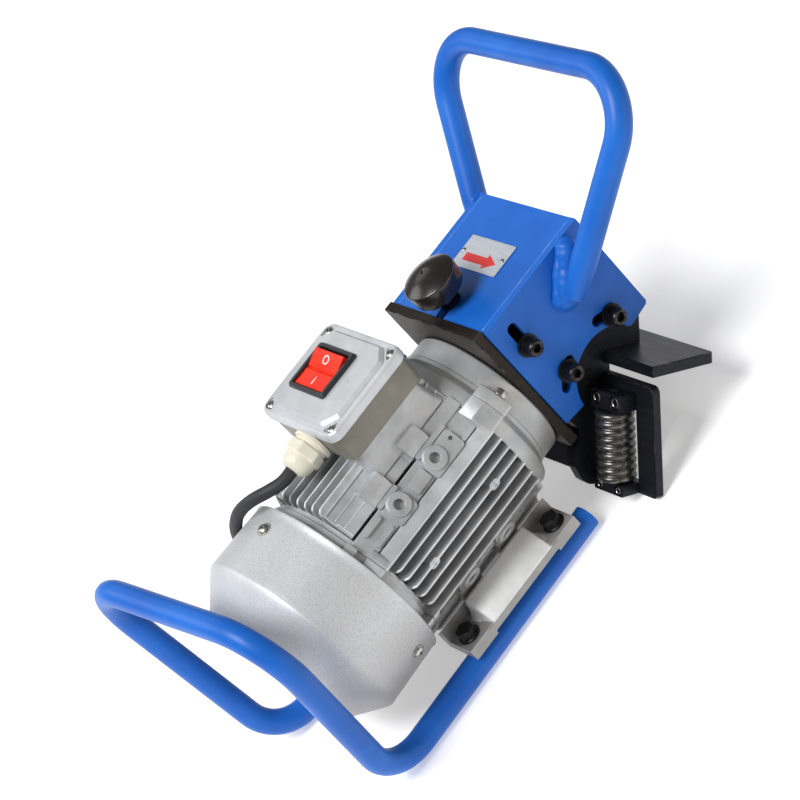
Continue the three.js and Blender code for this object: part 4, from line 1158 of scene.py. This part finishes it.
def make_head_box():
    """The slotted side plates, the top plate, the front plate and the arrow plate."""
    holes = [slot_outline((LIFT_SCREW_X, 33.5), (LIFT_SCREW_X, 57.5), SLOT_HALF),
             arc_slot(PIVOT, SLOT_RADIUS, SLOT_HALF, 118, 143.4),
             arc_slot(PIVOT, SLOT_RADIUS, SLOT_HALF, 43.6, 69)]
    outline = [(BOX_REAR, BOX_TOP), (BOX_REAR, -29.5), (24, -31.5)] + arc(PIVOT, 34, 173, 32, 48)
    outline += [(90.2, -20.3), (91.5, -21.7), (93.4, -22.3), (96, -22.4), (BOX_FRONT - 2, -21)]
    outline += [(BOX_FRONT, -19), (BOX_FRONT, BOX_TOP)]
    for name, side in SIDES:
        low, high = on_side(side, 51.8, BOX_SIDE)
        plate = Form()
        flat_in_xz(low, high, plate, outline, holes)
        plate.done("box_side_" + name, [BLUE, BLUE_EDGE], "head",
                   ["side_plate_" + name], 0.55, flat=True, edge=True)
    top = Form()
    mouth = [(BOX_REAR, 4.8)] + arc((STUD_X, 0), 4.8, 90, -90, 16) + [(BOX_REAR, -4.8)]
    outline = [(BOX_REAR, -51.5), (BOX_FRONT, -51.5), (BOX_FRONT, 51.5), (BOX_REAR, 51.5)] + mouth
    top.prism(outline, 67, 73)
    top.done("box_top", [BLUE, BLUE_EDGE], "head", ["top_plate"], 0.5, flat=True, edge=True)
    dress("front_plate", BLUE, 0.6, BLUE_EDGE)
    label = Form()
    label.prism(rounded(51.5, -24, 79, 29, 0.8), 73.3, 74.0)
    label.paint = 1
    arrow = [(57.4, 21), (57.4, -4), (54.4, -4), (60.8, -17), (67.2, -4), (64.2, -4), (64.2, 21)]
    label.prism(arrow, 73.6, 74.1)
    label.paint = 2
    for y in (26, -20.5):
        label.lathe([(73.9, 2.0), (74.6, 1.8), (75.1, 1.1), (75.3, 0)], Matrix.Translation((65, y, 0)), 24)
    label.done("feed_label", [label_sheet(), ARROW_RED, ZINC], "head",
               ["direction_plate"], 0.12, flat=True)


HANDLE = [(71.6, -68.1, 40.6), (188.3, -124.6, 152.4), (188.3, 119, 152.4), (98, 68.1, 40.6)]


def lumpy_bead(form, route, size, seed):
    """A weld bead laid in one pass: ripples, lumps and tapered ends."""
    dense = dense_route(route, 1.1, 2)

    def swell(share):
        ends = min(1.0, min(share, 1 - share) / 0.1) ** 0.5
        ripple = 0.03 * math.sin(share * len(dense) * 1.1 + seed) + 0.09 * math.sin(share * 15 + 2 * seed)
        return (0.25 + 0.75 * ends) * (1 + ripple), (0.25 + 0.75 * ends) * (1 + 0.7 * ripple)

    form.sweep(dense, size, 14, 0, swell)


def make_handle():
    """The bent grip, flattened at its welded ends, with rough weld beads round them."""
    dense = dense_route(bent_route(HANDLE, [38, 38], 20), 5, 1)

    def pinch(share):
        ease = min(1.0, min(share, 1 - share) / 0.045) ** 0.8
        return 0.78 + 0.22 * ease, 0.78 + 0.22 * ease

    form = Form()
    form.sweep(dense, TUBE, 44, 8, pinch)
    form.done("grip_tube", [BLUE, BLUE_EDGE], "head", ["front_handle"], 0.4, edge=True)
    beads = Form()
    y = BOX_SIDE + 2.4
    lumpy_bead(beads, [(64, -y, 33), (70, -y - 1.4, 42), (80, -y - 2.6, 53), (90, -y - 2, 63), (99, -y, 72)],
               8.2, 1.0)
    lumpy_bead(beads, [(60, -y + 1, 38), (66, -y, 46), (75, -y, 56), (85, -y, 64), (94, -y + 1, 71)],
               4.2, 2.6)
    lumpy_bead(beads, [(93, y, 34.5), (99, y + 1, 44), (106, y + 1.5, 54), (112, y, 62)], 4.6, 2.0)
    lumpy_bead(beads, [(112.2, 54, 66), (112.4, 57, 70), (110, 57.6, 72.4), (104, 57.4, 72.8)], 2.4, 3.0)
    for x, side, seed in ((71.8, -1, 4.0), (98.2, 1, 5.0)):
        loop = [(x + a, side * (BOX_SIDE + 0.6), 40.6 + b) for a, b in arc((0, 0), 11.6, 150, 440, 24)]
        lumpy_bead(beads, loop, 1.9, seed)
    beads.done("weld_beads", BLUE, "head", (), 0)


def make_seams():
    """Shallow weld seams where the box's plates meet."""
    seams = Form()
    for y in (-51.65, 51.65):
        rings = []
        for k in range(60):
            x = BOX_REAR + 2 + (BOX_FRONT - BOX_REAR - 4) * k / 59
            size = 0.75 + 0.12 * math.sin(k * 2.3)
            rings.append([(x, y + size * math.cos(t), 72.75 + 0.5 * size * math.sin(t))
                          for t in [2 * math.pi * s / 8 for s in range(8)]])
        seams.loft(rings)
    seams.done("box_seams", BLUE_EDGE, "head", (), 0)


def make_knob():
    """The lift knob and the threaded stud that it turns."""
    knob = Form()
    place = Matrix.Translation((STUD_X, 0, 0))
    profile = [(95, 0), (95, 5.3), (77.3, 5.3), (77.3, 7.4), (79, 7.6), (84, 8.2), (86, 9.4), (86.3, 18.0),
               (86.8, 19.2), (88, 19.9), (99.4, 21), (100.6, 20.9), (101.3, 20.5), (101.6, 20.0)]
    profile += [(101.6 + 6 * (1 - (r / 20) ** 2), r) for r in (18, 16, 13.5, 11, 8.5, 6, 4, 2.8)]
    profile += [(107.4, 2.2), (106.8, 1.7), (106.7, 0)]
    knob.lathe(profile, place, 96)
    knob.done("knob", KNOB_BLACK, "knob", ["lift_knob"], 0.35)
    stud = Form()
    profile = [(36.5, 0), (36.5, 4.6)]
    for k in range(17):
        profile += [(37 + k * 1.5, 5.0), (37.75 + k * 1.5, 4.3)]
    profile += [(62.7, 5), (62.7, 8), (66.7, 8), (66.7, 4.4), (73.3, 4.4), (73.3, 8), (76.7, 8), (76.7, 5),
                (94, 5), (94, 0)]
    stud.lathe(profile, place, 40)
    stud.done("stud", SCREW, "knob", ["lift_stud"], 0.15)


def screw_at(node, spot, side, shank_end, body):
    """A socket screw through a side plate's slot at (x, z), with its shank ending inside the box."""
    form = Form()
    seat = BOX_SIDE + 0.3
    place = heading((spot[0], side * seat, spot[1]), (0, side, 0), 0.2)
    form.lathe([(shank_end - seat, 0), (shank_end - seat, 3.5), (shank_end - seat + 0.9, 3.9),
                (0, 3.9), (0, 0)], place, 32)
    socket_screw(form, place, 6.5, 7.6, 8.6, 2.0, 1.9)
    form.done(node + "_set", [SCREW, SOCKET_RIM], body, [node], 0.15)


def make_clamp_screws():
    """The screws that hold the box and the guide in their slots."""
    for name, side in SIDES:
        screw_at("lift_screw_" + name, (LIFT_SCREW_X, 39.5), side, 30, "motor")
        for end, angle in GUIDE_SCREWS.items():
            spot = polar(PIVOT, SLOT_RADIUS, angle)
            screw_at("guide_screw_" + end + "_" + name, spot, side, 43, "guide")


# ---- Cutter and motor inside ----------------------------------------------------------------
def dress_inside():
    """Finishes for the pieces that keep their CAD shapes."""
    for node in ("stator_core", "rotor_core"):
        dress(node, CORE, 0.3)
    for node in ("front_winding", "rear_winding"):
        dress(node, COPPER, 4.0)
    for node in ("front_bearing", "rear_bearing", "motor_shaft", "cutter_arbor"):
        dress(node, GROUND, 0.4)
    dress("cooling_fan", DARK_PLASTIC, 0.4)
    dress("arbor_bolt", SCREW, 0.5)
    dress("cutter_head", OILED, 0.5)
    dress("lift_block", BLACK, 0.5, BLACK_EDGE)
    dress("flange_plate", BROWN, 0.7, BLACK_EDGE)


# ---- V guide --------------------------------------------------------------------------------
OUTWARD = Vector((math.cos(GUIDE_ANGLE), 0, math.sin(GUIDE_ANGLE)))
DOWNWARD = Vector((OUTWARD.z, 0, -OUTWARD.x))
CORNER = Vector((APEX[0], 0, APEX[1]))


def in_guide(p, q, y=0.0):
    """A place by its distance out along the upper fence and down along the lower one."""
    return CORNER + OUTWARD * p + DOWNWARD * q + Vector((0, y, 0))


def make_fences():
    """The two fences of the V guide, notched in the middle for the cutter."""
    upper = Form()
    notch = [(42, -6), (42, 24), (40, 26), (-40, 26), (-42, 24), (-42, -6)]
    outline = [(-107, -6)] + arc((-104, 45.5), 3, 180, 90, 5) + arc((104, 45.5), 3, 90, 0, 5) + [(107, -6)]
    upper.prism(outline + notch, -8.3, 0, axes(CORNER, (0, 1, 0), OUTWARD))
    upper.done("fence_upper", [BLACK, BLACK_EDGE], "guide", ["upper_fence"], 0.6,
               flat=True, edge=True)
    lower = Form()
    outline = [(-107, 87.2), (-105, 89.2), (105, 89.2), (107, 87.2)] + arc((101.5, 12.5), 5.5, 0, -90, 6)
    outline += [(42, 7), (42, 26), (-42, 26), (-42, 7)] + arc((-101.5, 12.5), 5.5, -90, -180, 6)
    windows = []
    for _, side in SIDES:
        near, far = on_side(side, 54.5, 87)
        windows.append(rounded(near, 26.8, far, 81.7, 1.5, 3))
    lower.prism(outline, 0, 7, axes(CORNER, (0, 1, 0), DOWNWARD), windows)
    lower.done("fence_lower", [BLACK, BLACK_EDGE], "guide", ["lower_fence"], 0.6,
               flat=True, edge=True)


def make_brackets():
    """Two hooked plates that carry the fences and turn about the pivot."""
    centre = (-1.97, 6.22)
    first = math.degrees(math.atan2(45 - centre[1], -31.5 - centre[0]))
    last = 360 + math.degrees(math.atan2(-32.2 - centre[1], 26 - centre[0]))
    hook = softened([(-7.3, 88.8), (-16, 88.5), (-24, 87), (-30, 82.5), (-35.5, 72), (-36.5, 61),
                     (-31.5, 52)], 5)
    outline = [(-7.3, 6.7), (-7.3, 88.8)] + hook[5:-5] + [(-31.5, 52)] + arc(centre, 47.3, first, last, 60)
    outline += [(26, -8.6), (-6.3, -8.6), (-6.3, 0.3), (-1.8, 0.3), (-1.8, 6.7)]
    points = [(p.x, p.z) for p in (in_guide(*pair) for pair in outline)]
    holes = [circle(polar(PIVOT, SLOT_RADIUS, angle), 4.3) for angle in GUIDE_SCREWS.values()]
    for name, side in SIDES:
        low, high = on_side(side, *BRACKET_PLATE)
        form = Form()
        flat_in_xz(low, high, form, points, holes)
        form.done("bracket_" + name, [BLACK, BLACK_EDGE], "guide",
                  ["guide_bracket_" + name], 0.5, flat=True, edge=True)


def make_rollers():
    """Coil-ridged rollers on pins between blocks, which are screwed to the lower fence."""
    coils = 9
    start, end = 28.3, 80.2
    pitch = (end - start) / coils
    profile = [(start, 4.1), (start, 12.3)]
    for k in range(coils):
        for step in range(9):
            share = step / 8
            profile.append((start + (k + share) * pitch, 12.3 + 2.2 * math.sin(math.pi * share) ** 0.6))
    profile += [(end, 12.3), (end, 4.1)]
    face = axes(CORNER, (0, 1, 0), DOWNWARD)
    for name, side in SIDES:
        axis_place = heading(in_guide(-14, 0, side * 71.5), DOWNWARD)
        roller = Form()
        roller.lathe(profile, axis_place, 72)
        roller.done("roller_" + name, OILED, "roller_" + name, ["guide_roller_" + name], 0)
        pin = Form()
        pin.lathe([(13.7, 0), (13.8, 1.6), (14.3, 3.2), (15, 4), (88.2, 4), (88.7, 3.5), (88.7, 0)],
                  axis_place, 32)
        pin.done("pin_" + name, GROUND, "guide", ["roller_pin_" + name], 0)
        screws = Form()
        for end_name, low, high, q in (("top", 14.3, 27.5, 20.2), ("bottom", 81.0, 89, 85.2)):
            node = "roller_block_" + end_name + "_" + name
            size = 4.7 if end_name == "top" else 3.4
            near, far = on_side(side, 55, 88)
            spots = [(side * 61, q), (side * 82, q)]
            block = Form()
            block.prism(rounded(near, low, far, high, 1.2, 3), 7.3, 22, face,
                        [circle(spot, size + 0.3) for spot in spots])
            block.done(node + "_body", [BLACK, BLACK_EDGE], "guide", [node], 0.5,
                       flat=True, edge=True)
            for y, at_q in spots:
                socket_screw(screws, heading(in_guide(-18, at_q, y), -OUTWARD), size, 3.8)
        screws.done("block_screws_" + name, [SCREW, BLOCK_RIM], "guide", (), 0.1)


# ---- Stage ----------------------------------------------------------------------------------
def area_light(name, place, aim, size, power, tint=(1, 1, 1)):
    data = bpy.data.lights.new(name, "AREA")
    data.shape = "DISK"
    data.size = size
    data.energy = power
    data.color = tint
    lamp = put(name, data)
    lamp.location = place
    lamp.rotation_mode = "QUATERNION"
    lamp.rotation_quaternion = (Vector(aim) - Vector(place)).to_track_quat("-Z", "Y")


def make_stage():
    """The floor, the lamps and the pale surroundings."""
    mesh = bpy.data.meshes.new("floor")
    reach = 12.0
    mesh.from_pydata([(-reach, -reach, 0), (reach, -reach, 0), (reach, reach, 0), (-reach, reach, 0)],
                     [], [(0, 1, 2, 3)])
    mesh.materials.append(plain_floor())
    floor = put("floor", mesh)
    floor.location.z = at(0, 0, FLOOR).z
    middle = (0.0, 0.0, 0.12)
    area_light("key", (-2.2, -0.7, 4.7), middle, 2.6, 270)
    area_light("fill", (-0.6, -2.6, 1.8), middle, 1.6, 4)
    area_light("warm", (1.3, -2.1, 0.5), middle, 1.0, 5, (1.0, 0.76, 0.52))
    area_light("rear", (-1.3, 2.1, 2.1), middle, 1.8, 24)
    area_light("gloss", (0.5, 2.2, 2.0), middle, 1.4, 5)
    world = bpy.data.worlds.new("studio")
    world.use_nodes = True
    world.node_tree.nodes["Background"].inputs["Color"].default_value = (1, 1, 1, 1)
    world.node_tree.nodes["Background"].inputs["Strength"].default_value = 0.15
    bpy.context.scene.world = world
    bpy.context.scene.view_settings.view_transform = "Standard"


make_lead()
make_housing()
make_castings()
make_fin_bosses()
make_end_shields()
make_fan_cover()
make_terminal_box()
make_switch()
make_gland()
make_feet()
make_skid()
make_head_box()
make_handle()
make_seams()
make_knob()
make_clamp_screws()
dress_inside()
make_fences()
make_brackets()
make_rollers()
make_stage()
